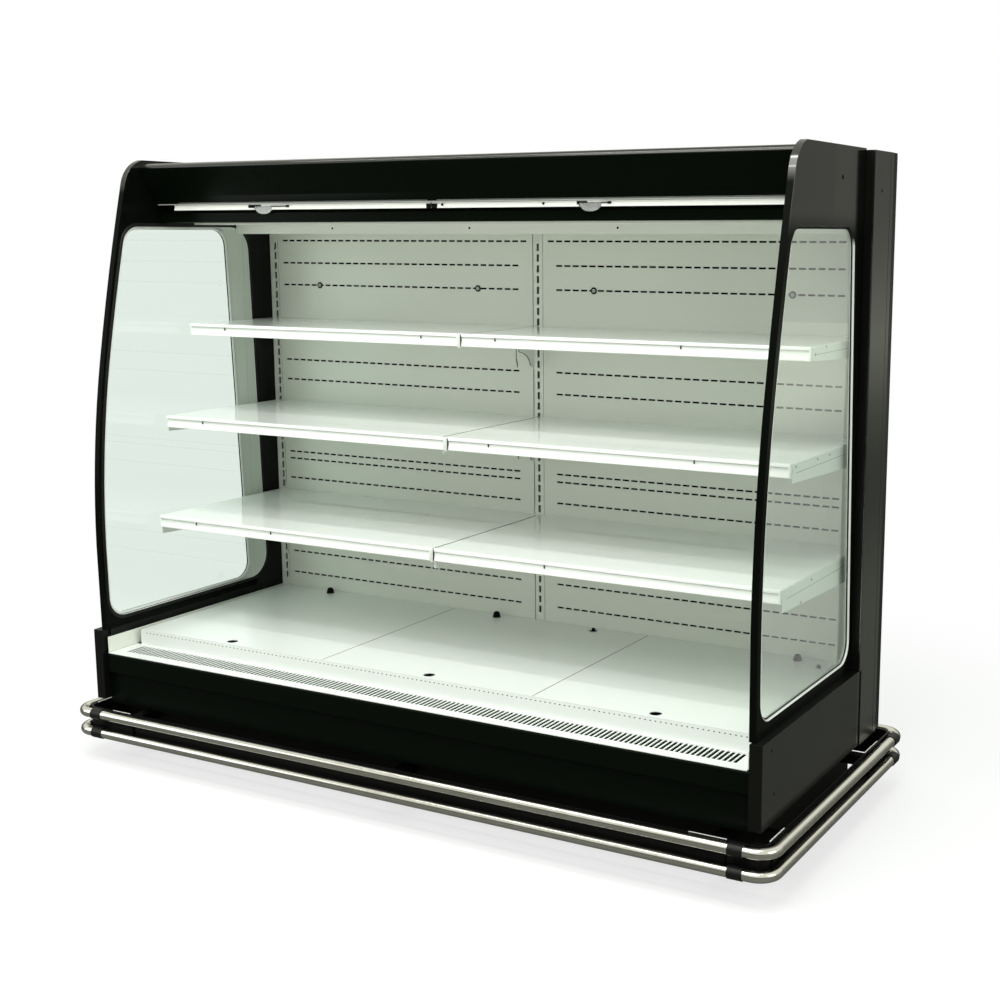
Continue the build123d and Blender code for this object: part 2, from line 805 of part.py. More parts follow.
def make_canopy():
    """Fascia, duct sheet, honeycomb air outlet and white ceiling."""
    keep("canopy_fascia", fascia())
    keep("air_duct_front", duct_front())
    keep("honeycomb_outlet", block(-inner_x, inner_x, outlet_front_y, outlet_rear_y - run_gap,
                                   outlet_z, outlet_z + outlet_thick))
    line = [(outlet_rear_y, outlet_z + outlet_thick), (outlet_rear_y, ceiling_z),
            (ceiling_step_y, ceiling_z), (ceiling_step_y, ceiling_foot_z),
            (wall_y + sheet, ceiling_foot_z)]
    keep("ceiling_panel", folded(-inner_x, inner_x, line, sheet))


# ------------------------------------------------------------ night blinds

def blind_roller(x0, x1):
    """Spring roller with its roll of cloth and end spindles."""
    spindle = 3 * bearing_thick
    body = rod((x0 + spindle, roller_y, roller_z), (x1 - spindle, roller_y, roller_z), roll_radius)
    body += rod((x0 + 2 * bearing_thick, roller_y, roller_z),
                (x1 - 2 * bearing_thick, roller_y, roller_z), roller_radius)
    body += rod((x0, roller_y, roller_z), (x1, roller_y, roller_z), spindle_radius)
    return body


def blind_bearing(x):
    """End plate that carries a roller spindle, fixed under the canopy lid."""
    wide = roller_radius + spindle_radius
    plate = block(x, x + bearing_thick, roller_y - wide / 2, roller_y + wide / 2,
                  roller_z - wide / 2, canopy_under_z)
    return plate - rod((x, roller_y, roller_z), (x + bearing_thick, roller_y, roller_z),
                       spindle_radius + shaft_gap)


def blind_bar(x0, x1, handle):
    """Bottom bar of a blind: a hollow section, open at the back, with a seat for the pull."""
    low = bar_foot_z
    high = bar_foot_z + bar_tall
    bar = block(x0, x1, bar_y, bar_y + bar_deep, low, high)
    bar -= block(x0, x1, bar_y + sheet, bar_y + bar_deep, low + sheet, high - sheet)
    return bar - block(handle - handle_radius - run_gap, handle + handle_radius + run_gap,
                       bar_y, bar_y + bar_deep, low, high - 2 * sheet)


def blind_handle(x):
    """Clear half-round pull in the seat of the bar."""
    y0 = bar_y + (bar_deep - handle_thick) / 2
    high = bar_foot_z + bar_tall - 2 * sheet
    low = bar_foot_z - handle_drop
    arc = ThreePointArc((x - handle_radius, y0, high), (x, y0, low), (x + handle_radius, y0, high))
    chord = Line((x + handle_radius, y0, high), (x - handle_radius, y0, high))
    return extrude(Face(Wire([arc, chord])), amount=handle_thick, dir=(0, 1, 0))


def blind_cloth(x0, x1):
    """Short run of cloth from the roll down to the bar."""
    top_y = bar_y + bar_deep / 2 - blind_dir_y / blind_dir_z * (bar_foot_z + bar_tall - roller_z)
    line = [(bar_y + bar_deep / 2, bar_foot_z + bar_tall), (top_y, roller_z)]
    return folded(x0, x1, line, cloth_thick)


def make_blinds():
    """Two night blinds side by side."""
    middle = blind_split_gap / 2
    spans = (("left", -inner_x, blind_split_x - middle, bar_left_x, blind_split_x - middle),
             ("right", blind_split_x + middle, inner_x, blind_split_x + middle, bar_right_x))
    bearings = []
    for place, (name, x0, x1, bar0, bar1) in enumerate(spans):
        keep("blind_roller_" + name, blind_roller(x0 + run_gap, x1 - run_gap))
        bearings += [blind_bearing(x0), blind_bearing(x1 - bearing_thick)]
        keep("blind_bar_" + name, blind_bar(bar0, bar1, handle_x[place]))
        keep("blind_handle_" + name, blind_handle(handle_x[place]))
        keep("blind_cloth_" + name, blind_cloth(bar0 + handle_drop, bar1 - handle_drop))
    keep("blind_bearings", *bearings)


# ---------------------------------------------------------- base and bumper

def base_frame():
    """Floor frame welded from square tubes, with the outriggers of the bumper."""
    x = rail_x
    rails = []
    for y in (rail_front_y, rail_rear_y - rail_wide):
        rails.append(block(-x, x, y, y + rail_wide, rail_foot_z, tub_foot_z))
    for middle in (-x + rail_wide / 2, -cross_x, cross_x, x - rail_wide / 2):
        rails.append(block(middle - rail_wide / 2, middle + rail_wide / 2,
                           rail_front_y + rail_wide, rail_rear_y - rail_wide,
                           rail_foot_z, tub_foot_z))
    half = outrigger_wide / 2
    z0 = bumper_low_z + bumper_radius
    z1 = bumper_high_z - bumper_radius
    reach = bracket_out - backing_thick
    for place in outrigger_x:
        rails.append(block(place - half, place + half, -reach, rail_front_y, z0, z1))
    for place in outrigger_y:
        rails += both(block(rail_x, end_x + reach, place - half, place + half, z0, z1))
    return rails


def levelling_foot(x, y):
    """Screw foot locked by a nut under the frame."""
    pad = rod((x, y, 0), (x, y, foot_pad_tall), foot_pad_radius)
    pad += rod((x, y, foot_pad_tall), (x, y, rail_foot_z), foot_stem_radius)
    nut_z = rail_foot_z - foot_nut_tall
    hexagon = Pos(x, y, nut_z) * RegularPolygon(foot_nut_radius, 6)
    return pad + extrude(hexagon, amount=foot_nut_tall)


def way_round(out, radius, z):
    """Half-way line of what runs round the foot of the case, right side, front to rear."""
    x = end_x + out
    y0 = -out
    y1 = bumper_rear_y - bumper_out + out
    corner = radius * (1 - cos(pi / 4))
    return [
        Line((0, y0, z), (x - radius, y0, z)),
        ThreePointArc((x - radius, y0, z), (x - corner, y0 + corner, z), (x, y0 + radius, z)),
        Line((x, y0 + radius, z), (x, y1 - radius, z)),
        ThreePointArc((x, y1 - radius, z), (x - corner, y1 - corner, z), (x - radius, y1, z)),
        Line((x - radius, y1, z), (bumper_return_x, y1, z)),
    ]


def bumper_tube(z):
    """One bumper tube: straight lengths, with elbows that end in stubs at the joints."""
    out = bumper_out
    inner = bumper_radius - bumper_wall
    joint_x = sleeve_x + sleeve_long / 2
    joint_y = sleeve_y + sleeve_long / 2
    front = pipe((-joint_x + run_gap, -out, z), (joint_x - run_gap, -out, z), bumper_radius, inner)
    way = way_round(out, bumper_corner, z)
    bend_y = (way[2] @ 0).Y
    side = pipe((end_x + out, bend_y, z), (end_x + out, joint_y - run_gap, z),
                bumper_radius, inner)
    start = Plane(origin=(joint_x + run_gap, -out, z), z_dir=(1, 0, 0))
    elbow = sweep(start * (Circle(bumper_radius) - Circle(inner)),
                  path=Wire([Line((joint_x + run_gap, -out, z), way[0] @ 1), way[1]]))
    start = Plane(origin=(end_x + out, joint_y + run_gap, z), z_dir=(0, 1, 0))
    corner = sweep(start * (Circle(bumper_radius) - Circle(inner)),
                   path=Wire([Line((end_x + out, joint_y + run_gap, z), way[2] @ 1), way[3],
                              way[4]]))
    end = way[4] @ 1
    corner += rod(end, (end.X - bumper_wall, end.Y, end.Z), bumper_radius)
    return [front, *both(side), *both(elbow), *both(corner)]


def bumper_sleeve(z, along_x, x, y):
    """Black sleeve over a tube."""
    half = sleeve_long / 2
    start = (x - half, y, z) if along_x else (x, y - half, z)
    end = (x + half, y, z) if along_x else (x, y + half, z)
    return pipe(start, end, bumper_radius + sleeve_wall, bumper_radius)


def bumper_brackets():
    """Upright steel plates between the tubes and the backing strip."""
    plates = []
    near = bracket_out
    far = bumper_out - bumper_radius
    low = bracket_top_z - bracket_tall
    for x in bracket_x:
        plates.append(block(x - bracket_long / 2, x + bracket_long / 2, -far, -near,
                            low, bracket_top_z))
    for y in bracket_y:
        plates += both(block(end_x + near, end_x + far, y - bracket_long / 2,
                             y + bracket_long / 2, low, bracket_top_z))
    return plates


def bumper_backing():
    """Black strip behind the tubes: straight lengths with bent corner pieces."""
    outer = bracket_out
    radius = bumper_corner - (bumper_out - outer)
    middle_z = (bumper_low_z + bumper_high_z) / 2
    out = outer - backing_thick / 2
    tall = bracket_tall - 2 * sheet
    strips = []
    for place, line in enumerate(way_round(out, radius - backing_thick / 2, middle_z)):
        across = Plane(origin=line @ 0, x_dir=(line % 0).cross(Vector(0, 0, 1)), z_dir=line % 0)
        strip = sweep(across * Rectangle(backing_thick, tall), path=Wire([line]))
        if place == 0:
            strips.append(mirror(strip, about=Plane.YZ) + strip)
        else:
            strips += both(strip)
    return strips


def make_base():
    """Everything below the trough."""
    keep("base_frame", *base_frame())
    inset = rail_wide / 2
    feet = [levelling_foot(x, y) for x in foot_x
            for y in (rail_front_y + inset, rail_rear_y - inset)]
    keep("levelling_feet", *feet)
    keep("bumper_tubes", *bumper_tube(bumper_high_z), *bumper_tube(bumper_low_z))
    sleeves = []
    for z in (bumper_high_z, bumper_low_z):
        sleeves += both(bumper_sleeve(z, True, sleeve_x + sleeve_long / 2, -bumper_out))
        sleeves += both(bumper_sleeve(z, False, end_x + bumper_out, sleeve_y + sleeve_long / 2))
    keep("bumper_sleeves", *sleeves)
    keep("bumper_brackets", *bumper_brackets())
    keep("bumper_backing", *bumper_backing())


make_ends()
make_body()
make_deck()
make_cold_parts()
make_rear_wall()
make_shelves()
make_canopy()
make_blinds()
make_base()

for name, solids in made.items():
    moved = [Pos(0, -origin_y, 0) * solid for solid in solids]
    shape = moved[0] if len(moved) == 1 else Compound(children=moved)
    export_step(shape, f"parts/{name}.step")

print(len(made), "nodes, blind travel", round(blind_run, 2))
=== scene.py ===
import json
import math

import bmesh
import bpy
from mathutils import Matrix, Vector

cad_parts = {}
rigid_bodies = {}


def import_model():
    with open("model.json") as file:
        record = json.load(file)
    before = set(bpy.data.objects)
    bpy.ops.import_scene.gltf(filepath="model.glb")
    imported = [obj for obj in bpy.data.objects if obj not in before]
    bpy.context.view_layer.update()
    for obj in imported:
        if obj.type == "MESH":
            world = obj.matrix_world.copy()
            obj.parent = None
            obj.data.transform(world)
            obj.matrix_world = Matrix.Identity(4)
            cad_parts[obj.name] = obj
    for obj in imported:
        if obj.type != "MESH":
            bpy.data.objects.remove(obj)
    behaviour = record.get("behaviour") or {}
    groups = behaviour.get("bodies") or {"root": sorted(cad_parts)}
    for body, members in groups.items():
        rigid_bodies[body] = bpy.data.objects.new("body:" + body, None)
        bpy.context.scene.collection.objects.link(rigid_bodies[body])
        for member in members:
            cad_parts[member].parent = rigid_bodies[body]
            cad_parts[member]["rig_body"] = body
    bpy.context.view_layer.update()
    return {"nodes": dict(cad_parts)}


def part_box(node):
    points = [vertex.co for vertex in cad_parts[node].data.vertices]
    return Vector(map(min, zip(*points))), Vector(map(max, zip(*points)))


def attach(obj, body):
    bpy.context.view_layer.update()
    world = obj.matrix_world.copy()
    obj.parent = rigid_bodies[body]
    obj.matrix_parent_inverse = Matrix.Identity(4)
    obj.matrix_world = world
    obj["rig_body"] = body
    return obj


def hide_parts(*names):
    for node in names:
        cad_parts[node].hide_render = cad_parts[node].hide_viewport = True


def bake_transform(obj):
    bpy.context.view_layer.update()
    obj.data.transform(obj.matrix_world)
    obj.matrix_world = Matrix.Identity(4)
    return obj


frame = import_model()

# ---------------- camera
# The view in the photograph: from the right of the case, level with its canopy and
# looking a little down. The shift puts the case where the photograph has it.

camera = bpy.data.cameras.new("camera")
camera.sensor_width = 36.0
camera.lens = 53.218
camera.shift_x = -0.1
camera.shift_y = -0.005
camera.dof.use_dof = False


def placed(name, data):
    """A new object in the scene."""
    piece = bpy.data.objects.new(name, data)
    bpy.context.scene.collection.objects.link(piece)
    return piece


eye = placed("eye", camera)
eye.location = (2.14125, -3.23965, 1.44437)
eye.rotation_euler = (math.radians(90 - 10.02), 0, math.radians(28.585))
bpy.context.scene.camera = eye
bpy.context.scene.view_settings.view_transform = "Standard"

# ---------------- floor and light
# A white floor that fades into a white background, lit by an even sky, by three large
# soft lamps and by two long ceiling strips that run along the case.


def operator(kind):
    """A method that adds one kind of Math node."""
    return lambda signal, other: signal.reckon(kind, other)


class Signal:
    """One output of a node. A sum or a comparison on it adds its Math node."""

    def __init__(self, socket):
        self.socket = socket

    def reckon(self, operation, other=0.0, swap=False):
        pair = (other, self) if swap else (self, other)
        return add_node(self.socket.id_data, "Math", {"operation": operation},
                        dict(enumerate(pair)))

    __add__ = __radd__ = operator("ADD")
    __sub__ = operator("SUBTRACT")
    __mul__ = operator("MULTIPLY")
    __truediv__ = operator("DIVIDE")
    __mod__ = operator("MODULO")
    __gt__ = operator("GREATER_THAN")
    __lt__ = operator("LESS_THAN")

    def __rsub__(self, other):
        return self.reckon("SUBTRACT", other, swap=True)

    def __floordiv__(self, other):
        return (self / other).reckon("FLOOR")

    def __abs__(self):
        return self.reckon("ABSOLUTE")


def add_node(tree, kind, settings, values, out=0):
    """Any node: its settings come first, then the values or links of its sockets."""
    node = tree.nodes.new(kind if kind.startswith("Geometry") else "ShaderNode" + kind)
    for name, value in settings.items():
        setattr(node, name, value)
    for key, value in values.items():
        if isinstance(value, Signal):
            tree.links.new(value.socket, node.inputs[key])
        else:
            node.inputs[key].default_value = value
    return Signal(node.outputs[out])


def object_place(tree, kind="Object"):
    """Where a point lies in the model, in metres, or another of its coordinates."""
    return Signal(tree.nodes.new("ShaderNodeTexCoord").outputs[kind])


def split(place):
    """The x, y and z of a place."""
    parts = add_node(place.socket.id_data, "SeparateXYZ", {}, {0: place})
    return [Signal(part) for part in parts.socket.node.outputs]


def mixed(share, low, high):
    """A colour between low and high, each a colour or the signal of one."""
    low, high = (end if isinstance(end, Signal) else (*end, 1) for end in (low, high))
    return add_node(share.socket.id_data, "Mix", {"data_type": "RGBA"},
                    {0: share, 6: low, 7: high}, out=2)


def shaded(share, first, second):
    """A shader that turns from a first into a second one."""
    return add_node(share.socket.id_data, "MixShader", {},
                    {0: share, 1: first, 2: second})


def light(tree, kind, colour, strength):
    """A plain light of one colour."""
    return add_node(tree, kind, {}, {"Color": (*colour, 1), "Strength": strength})


def emptied(data):
    """The node tree of a new world or material, without its nodes."""
    data.use_nodes = True
    data.node_tree.nodes.clear()
    return data.node_tree


def surface(tree, kind, shader):
    """Ends a tree with an output of the given kind."""
    tree.links.new(shader.socket, tree.nodes.new(kind).inputs["Surface"])


def ray_kinds(tree, *names):
    """1 for the rays of any of the named kinds."""
    ray = tree.nodes.new("ShaderNodeLightPath").outputs
    kinds = [Signal(ray[name]) for name in names]
    found = kinds[0]
    for kind in kinds[1:]:
        found = found.reckon("MAXIMUM", kind)
    return found


def eased(value, start, end, low=0.0, high=1.0):
    """A value that runs smoothly from low to high between start and end."""
    return add_node(value.socket.id_data, "MapRange",
                    {"interpolation_type": "SMOOTHSTEP"},
                    {0: value, 1: start, 2: end, 3: low, 4: high})


sky = bpy.data.worlds.new("sky")
sky_tree = emptied(sky)
sky_right, sky_back, sky_up = split(object_place(sky_tree, "Generated"))
right_rear = (eased(sky_right, 0.1, 0.25) * eased(sky_back, 0.3, 0.6)
              * eased(sky_up, 0.35, 0.15) * 0.135)
even_light = light(sky_tree, "Background", (0.94, 1.0, 0.93),
                   eased(sky_up, -0.2, 0.9, 0.62, 1.02))
room = light(sky_tree, "Background", (0.99, 1.0, 0.87),
             eased(sky_up, 0.05, 0.45, 0.05, 0.95) + eased(sky_up, 0.0, -0.1, 0.0, 0.5)
             + right_rear)
white_wall = light(sky_tree, "Background", (1, 1, 1), 1.0)
sky_lit = shaded(ray_kinds(sky_tree, "Is Glossy Ray"), even_light, room)
surface(sky_tree, "ShaderNodeOutputWorld",
        shaded(ray_kinds(sky_tree, "Is Camera Ray", "Is Transmission Ray"), sky_lit, white_wall))
bpy.context.scene.world = sky

floor_mat = bpy.data.materials.new("pale_floor")
floor_tree = emptied(floor_mat)
floor_place = object_place(floor_tree)
floor_shown = ray_kinds(floor_tree, "Is Camera Ray", "Is Transmission Ray")
floor_gloss = mixed(eased(split(floor_place)[0], 3.2, 4.8),
                    (0.155, 0.155, 0.14), (0.92, 0.92, 0.8))
floor_hidden = mixed(ray_kinds(floor_tree, "Is Glossy Ray"), (0.53, 0.52, 0.49), floor_gloss)
floor_paint = add_node(floor_tree, "BsdfDiffuse", {},
                       {"Color": mixed(floor_shown, floor_hidden, (0.9, 0.9, 0.9))})
floor_glow = light(floor_tree, "Emission", (1, 1, 1), 1.0)
floor_far = add_node(floor_tree, "VectorMath", {"operation": "LENGTH"},
                     {0: floor_place}, out=1)
surface(floor_tree, "ShaderNodeOutputMaterial",
        shaded(floor_shown * eased(floor_far, 1.3, 2.6, 0.66, 1.0), floor_paint, floor_glow))
floor_mesh = bpy.data.meshes.new("floor")
floor_mesh.from_pydata([(-20, -20, 0), (20, -20, 0), (20, 20, 0), (-20, 20, 0)], [],
                       [(0, 1, 2, 3)])
floor_mesh.materials.append(floor_mat)
placed("floor", floor_mesh)


def soft_lamp(name, place, aim, size, power, tint):
    """A soft lamp, size wide and deep, that points at a place on the case."""
    lamp = bpy.data.lights.new(name, "AREA")
    lamp.shape = "RECTANGLE"
    lamp.size, lamp.size_y = size
    lamp.energy = power
    lamp.color = tint
    holder = placed(name, lamp)
    holder.location = place
    holder.rotation_euler = (Vector(aim) - Vector(place)).to_track_quat("-Z", "Y").to_euler()


soft_lamp("overhead", (0.3, -2.6, 4.2), (0, 0, 0.9), (3.0, 3.0), 85.0, (1.0, 1.0, 0.96))
soft_lamp("right_hand", (4.5, -0.6, 2.2), (0, 0, 0.9), (2.5, 2.5), 22.0, (1.0, 0.98, 0.95))
soft_lamp("left_hand", (-4.0, -2.8, 1.8), (0, 0, 0.8), (2.5, 2.5), 30.0, (0.96, 1.0, 1.0))
for name, strip_y in (("near_strip", -1.49), ("far_strip", -0.63)):
    soft_lamp(name, (0.0, strip_y, 2.62), (0.0, strip_y, 0.0), (3.2, 0.12), 14.0, (1.0, 1.0, 0.98))

# ---------------- floor frame and its feet
# The welded frame of black square tube stands on six screw feet with locking nuts.
# Almost all of it hides behind the bumper.


def blank_material(name, colour, roughness, metallic=0.0, specular=0.5):
    """A new material with its plain values set; returns it, its tree and its shader."""
    made = bpy.data.materials.new(name)
    made.use_nodes = True
    shader = made.node_tree.nodes["Principled BSDF"]
    for key, value in (("Base Color", (*colour, 1)), ("Roughness", roughness),
                       ("Metallic", metallic), ("Specular IOR Level", specular)):
        shader.inputs[key].default_value = value
    made.diffuse_color = (*colour, 1)
    return made, made.node_tree, shader


def drive(tree, shader, name, signal):
    """Lets a pattern drive one socket of the shader."""
    tree.links.new(signal.socket, shader.inputs[name])


def noise(tree, scale, detail=2.0, roughness=0.5, place=None):
    """Cloudy noise over the model, or over a place of its own."""
    return add_node(tree, "TexNoise", {},
                    {"Vector": place or object_place(tree), "Scale": scale, "Detail": detail,
                     "Roughness": roughness})


def bumped(tree, shader, height, strength, depth=0.0004):
    """Fine bumps on a surface."""
    drive(tree, shader, "Normal",
          add_node(tree, "Bump", {},
                   {"Strength": strength, "Distance": depth, "Height": height}))


def powder_coat(name, colour, roughness, specular, peel, shade=0.05, sheen=None, coat_index=1.5):
    """Baked powder paint: a faint orange peel and cloudy differences in tone and gloss.

    sheen turns the place of a point into the weight of a clear glossy coat.
    """
    made, tree, shader = blank_material(name, colour, roughness, specular=specular)
    cloud = noise(tree, 2.6, 3.0, 0.55)
    rubbed = noise(tree, 38.0, 4.0, 0.6)
    dark = tuple(part * (1 - shade) for part in colour)
    pale = tuple(min(part * (1 + shade), 1) for part in colour)
    drive(tree, shader, "Base Color", mixed(cloud * 0.75 + rubbed * 0.25, dark, pale))
    drive(tree, shader, "Roughness",
          roughness * 0.82 + (cloud * 0.6 + rubbed * 0.4) * (roughness * 0.36))
    bumped(tree, shader, noise(tree, 900.0), peel)
    if sheen:
        shader.inputs["Coat Roughness"].default_value = roughness * 0.6
        shader.inputs["Coat IOR"].default_value = coat_index
        drive(tree, shader, "Coat Weight", sheen(*split(object_place(tree))))
    return made


def grained(name, colour, roughness, cloud, gloss, tones=None, bump=None, **plain):
    """A material with one noise in its gloss and, where given, in its tone and its bumps.

    cloud is the scale, detail and roughness of the noise, gloss the span and the least
    roughness, bump its strength and depth.
    """
    made, tree, shader = blank_material(name, colour, roughness, **plain)
    grain = noise(tree, *cloud)
    span, least = gloss
    drive(tree, shader, "Roughness", grain * span + least)
    if tones:
        drive(tree, shader, "Base Color", mixed(grain, *tones))
    if bump:
        bumped(tree, shader, grain, *bump)
    return made


def dress(material, *nodes):
    """Gives CAD nodes whose shape is right their own finish."""
    for node in nodes:
        mesh = frame["nodes"][node].data
        mesh.materials.clear()
        mesh.materials.append(material)


frame_black = powder_coat("frame_black", (0.003, 0.0035, 0.003), 0.5, 0.12, 0.12)
zinc = grained("zinc", (0.5, 0.51, 0.52), 0.42, (60.0, 5.0, 0.6), (0.35, 0.25),
               ((0.38, 0.39, 0.41), (0.62, 0.62, 0.6)), (0.1, 0.0004), metallic=1.0)
dress(frame_black, "base_frame")
dress(zinc, "levelling_feet", "blind_bearings")

# ---------------- foamed trough, rear wall and lid
# Three foam-filled panels with black skins make the cold body: the trough, the rear
# wall with its side flanges, and the lid of the canopy.

skin_black = powder_coat("skin_black", (0.0035, 0.004, 0.0035), 0.42, 0.22, 0.1)


def from_bmesh(name, mesh, material, smooth=30.0):
    """A new piece from a finished bmesh, smooth but for edges over the given angle."""
    data = bpy.data.meshes.new(name)
    mesh.to_mesh(data)
    mesh.free()
    data.materials.append(material)
    data.shade_smooth()
    data.set_sharp_from_angle(angle=math.radians(smooth))
    return placed(name, data)


def seat(piece, body, slot, *nodes):
    """A finished piece rides on its body and may stand for CAD nodes."""
    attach(piece, body)
    if nodes:
        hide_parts(*nodes)


def fitted(name, mesh, material, slot, *nodes, body="cabinet", smooth=30.0):
    """A new piece from a finished bmesh, seated at once, on the cabinet unless told."""
    piece = from_bmesh(name, mesh, material, smooth)
    seat(piece, body, slot, *nodes)
    return piece


def node_mesh(node):
    """The shape of a CAD node with its doubled corners merged."""
    mesh = bmesh.new()
    mesh.from_mesh(frame["nodes"][node].data)
    bmesh.ops.remove_doubles(mesh, verts=mesh.verts, dist=2e-5)
    return mesh


def soften(node, width, material, slot, steps=2):
    """The same shape as a CAD node, with rolled edges."""
    mesh = node_mesh(node)
    bmesh.ops.dissolve_limit(mesh, angle_limit=math.radians(0.4), verts=mesh.verts,
                             edges=mesh.edges)
    sharp = [edge for edge in mesh.edges
             if edge.is_manifold and edge.calc_face_angle(0.0) > math.radians(28)]
    bmesh.ops.bevel(mesh, geom=sharp, offset=width, offset_type="OFFSET", segments=steps,
                    profile=0.5, affect="EDGES", clamp_overlap=True)
    piece = from_bmesh(node + "_skin", mesh, material, 40.0)
    flat = piece.modifiers.new("flat_faces", "WEIGHTED_NORMAL")
    flat.weight = 90
    flat.keep_sharp = True
    seat(piece, frame["nodes"][node]["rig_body"], slot, node)


for node in ("insulated_tub", "insulated_back", "canopy_top"):
    soften(node, 0.002, skin_black, "black_panel")

# ---------------- rear columns and side bases
# Folded steel boxes, painted black. The square post at the front of each side base
# has a rolled edge that catches the light.

side_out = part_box("side_base_right")[1].x


def profile_bar(mesh, outline, x0, x1):
    """Adds a bar of one section, a closed outline of (y, z) corners, from x0 to x1."""
    left = [mesh.verts.new((x0, y, z)) for y, z in outline]
    right = [mesh.verts.new((x1, y, z)) for y, z in outline]
    count = len(outline)
    for place in range(count):
        after = (place + 1) % count
        mesh.faces.new((left[place], right[place], right[after], left[after]))
    mesh.faces.new(left)
    mesh.faces.new(right[::-1])


def squared(mesh):
    """Merges and turns all faces outwards."""
    bmesh.ops.remove_doubles(mesh, verts=mesh.verts, dist=1e-6)
    bmesh.ops.recalc_face_normals(mesh, faces=mesh.faces)
    return mesh


def trim(name, material, slot, *boxes, body="cabinet"):
    """One piece of plain boxes, each given by its ends along x, y and z."""
    mesh = bmesh.new()
    for box in boxes:
        box_bar(mesh, *box)
    fitted(name, squared(mesh), material, slot, body=body)


def box_bar(mesh, x, y, z):
    """Adds a box, given by its ends along x, y and z."""
    profile_bar(mesh, ((y[0], z[0]), (y[1], z[0]), (y[1], z[1]), (y[0], z[1])), *x)


def side_sheen(x, y, z):
    """Painted sheen: a gloss coat on the outer faces that fades out towards the foot, weakens at
    mid height and grows towards the top.
    """
    base = eased(z - y * 0.02, 0.165, 0.235, 0.0, 0.34) + eased(y, 0.205, 0.212, 0.0, 0.46)
    column = eased(z, 0.5, 0.9, 0.0, -0.64) + eased(z, 1.0, 1.5, 0.0, 0.6)
    return (abs(x) > side_out - 0.0006) * (base + column)


side_black = powder_coat("side_black", (0.0045, 0.005, 0.0042), 0.3, 0.12, 0.1,
                         sheen=side_sheen, coat_index=2.2)
for side in ("left", "right"):
    soften("side_base_" + side, 0.0014, side_black, "black_steel")
    soften("rear_column_" + side, 0.0012, side_black, "black_steel")

column_low, column_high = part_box("rear_column_right")
trim("column_seams", skin_black, "black_panel",
     *(((x - 0.0002, x + 0.0002), (column_high.y - 0.025, column_high.y - 0.0234),
        (column_low.z + 0.002, column_high.z - 0.003)) for x in (-column_high.x, column_high.x)))

# ---------------- black front of the case
# A folded nosing with a rolled top edge stands over a set-back lower panel. Both are
# satin black steel.

nosing_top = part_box("front_nosing")[1].z


def lip_sheen(x, y, z):
    """Painted highlight: a gloss coat only on the rolled top edge of the nosing."""
    rise = eased(z, nosing_top - 0.0052, nosing_top - 0.003)
    return rise * eased(z, nosing_top + 0.0001, nosing_top - 0.0012)


front_black = powder_coat("front_black", (0.0018, 0.0032, 0.0018), 0.3, 0.05, 0.08,
                          sheen=lip_sheen)
soften("front_nosing", 0.0042, front_black, "black_steel", 4)
soften("front_panel", 0.0006, front_black, "black_steel")

# ---------------- cold parts in the trough
# Two fans on a plate push the return air through a finned coil. All of it lies under
# the deck and shows when a deck pan is lifted out.

black_plastic = grained("black_plastic", (0.004, 0.004, 0.004), 0.45, (500.0, 3.0), (0.2, 0.35),
                        bump=(0.1, 0.0003), specular=0.15)
coil_metal = grained("coil_metal", (0.66, 0.67, 0.66), 0.35, (120.0, 4.0), (0.3, 0.2),
                     metallic=1.0)
dress(zinc, "fan_plate")
dress(black_plastic, "fan_motors", "fan_impeller_left", "fan_impeller_right", "drain_outlet",
      "terminal_box", "bumper_backing")
dress(coil_metal, "evaporator_coil")

# ---------------- slotted rear wall inside
# White steel air panels with rows of punched dashes hang between three slotted
# uprights, and round plugs close their fixing holes. Screws and two seams show on the
# black skin behind.

wall_white = powder_coat("wall_white", (0.8, 0.825, 0.755), 0.3, 0.5, 0.1, 0.03)
# Matte black for plugs, pins, screws and seams, also used as painted shade in slots, gaps and
# behind perforations.
black_and_painted_shade = grained("black_and_painted_shade", (0.004, 0.004, 0.004), 0.8, (200.0,), (0.2, 0.7),
                    specular=0.1)
wall_face_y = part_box("uprights")[0].y
panel_low, panel_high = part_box("back_panel_left")
dash_long = 0.02
dash_tall = 0.005
dash_rows = (0.387, 0.455, 0.691, 0.752, 0.774, 1.001, 1.062, 1.291, 1.357, 1.424)


def new_group(name, result, sockets):
    """A group of geometry nodes, the keys of its inputs, a way to add a node, the inputs."""
    tree = bpy.data.node_groups.new(name, "GeometryNodeTree")
    keys = {socket: tree.interface.new_socket(socket, in_out="INPUT",
                                              socket_type="NodeSocket" + kind).identifier
            for socket, kind in sockets.items()}
    tree.interface.new_socket(result, in_out="OUTPUT", socket_type="NodeSocketGeometry")
    given = tree.nodes.new("NodeGroupInput").outputs

    def node(kind, values=None, **settings):
        return add_node(tree, kind, settings, values or {})

    return tree, keys, node, [Signal(given[socket]) for socket in sockets]


def close_group(tree, shape, paint):
    """Paints the shape and hands it out of its group."""
    painted = add_node(tree, "GeometryNodeSetMaterial", {}, {"Geometry": shape, "Material": paint})
    tree.links.new(painted.socket, tree.nodes.new("NodeGroupOutput").inputs[0])


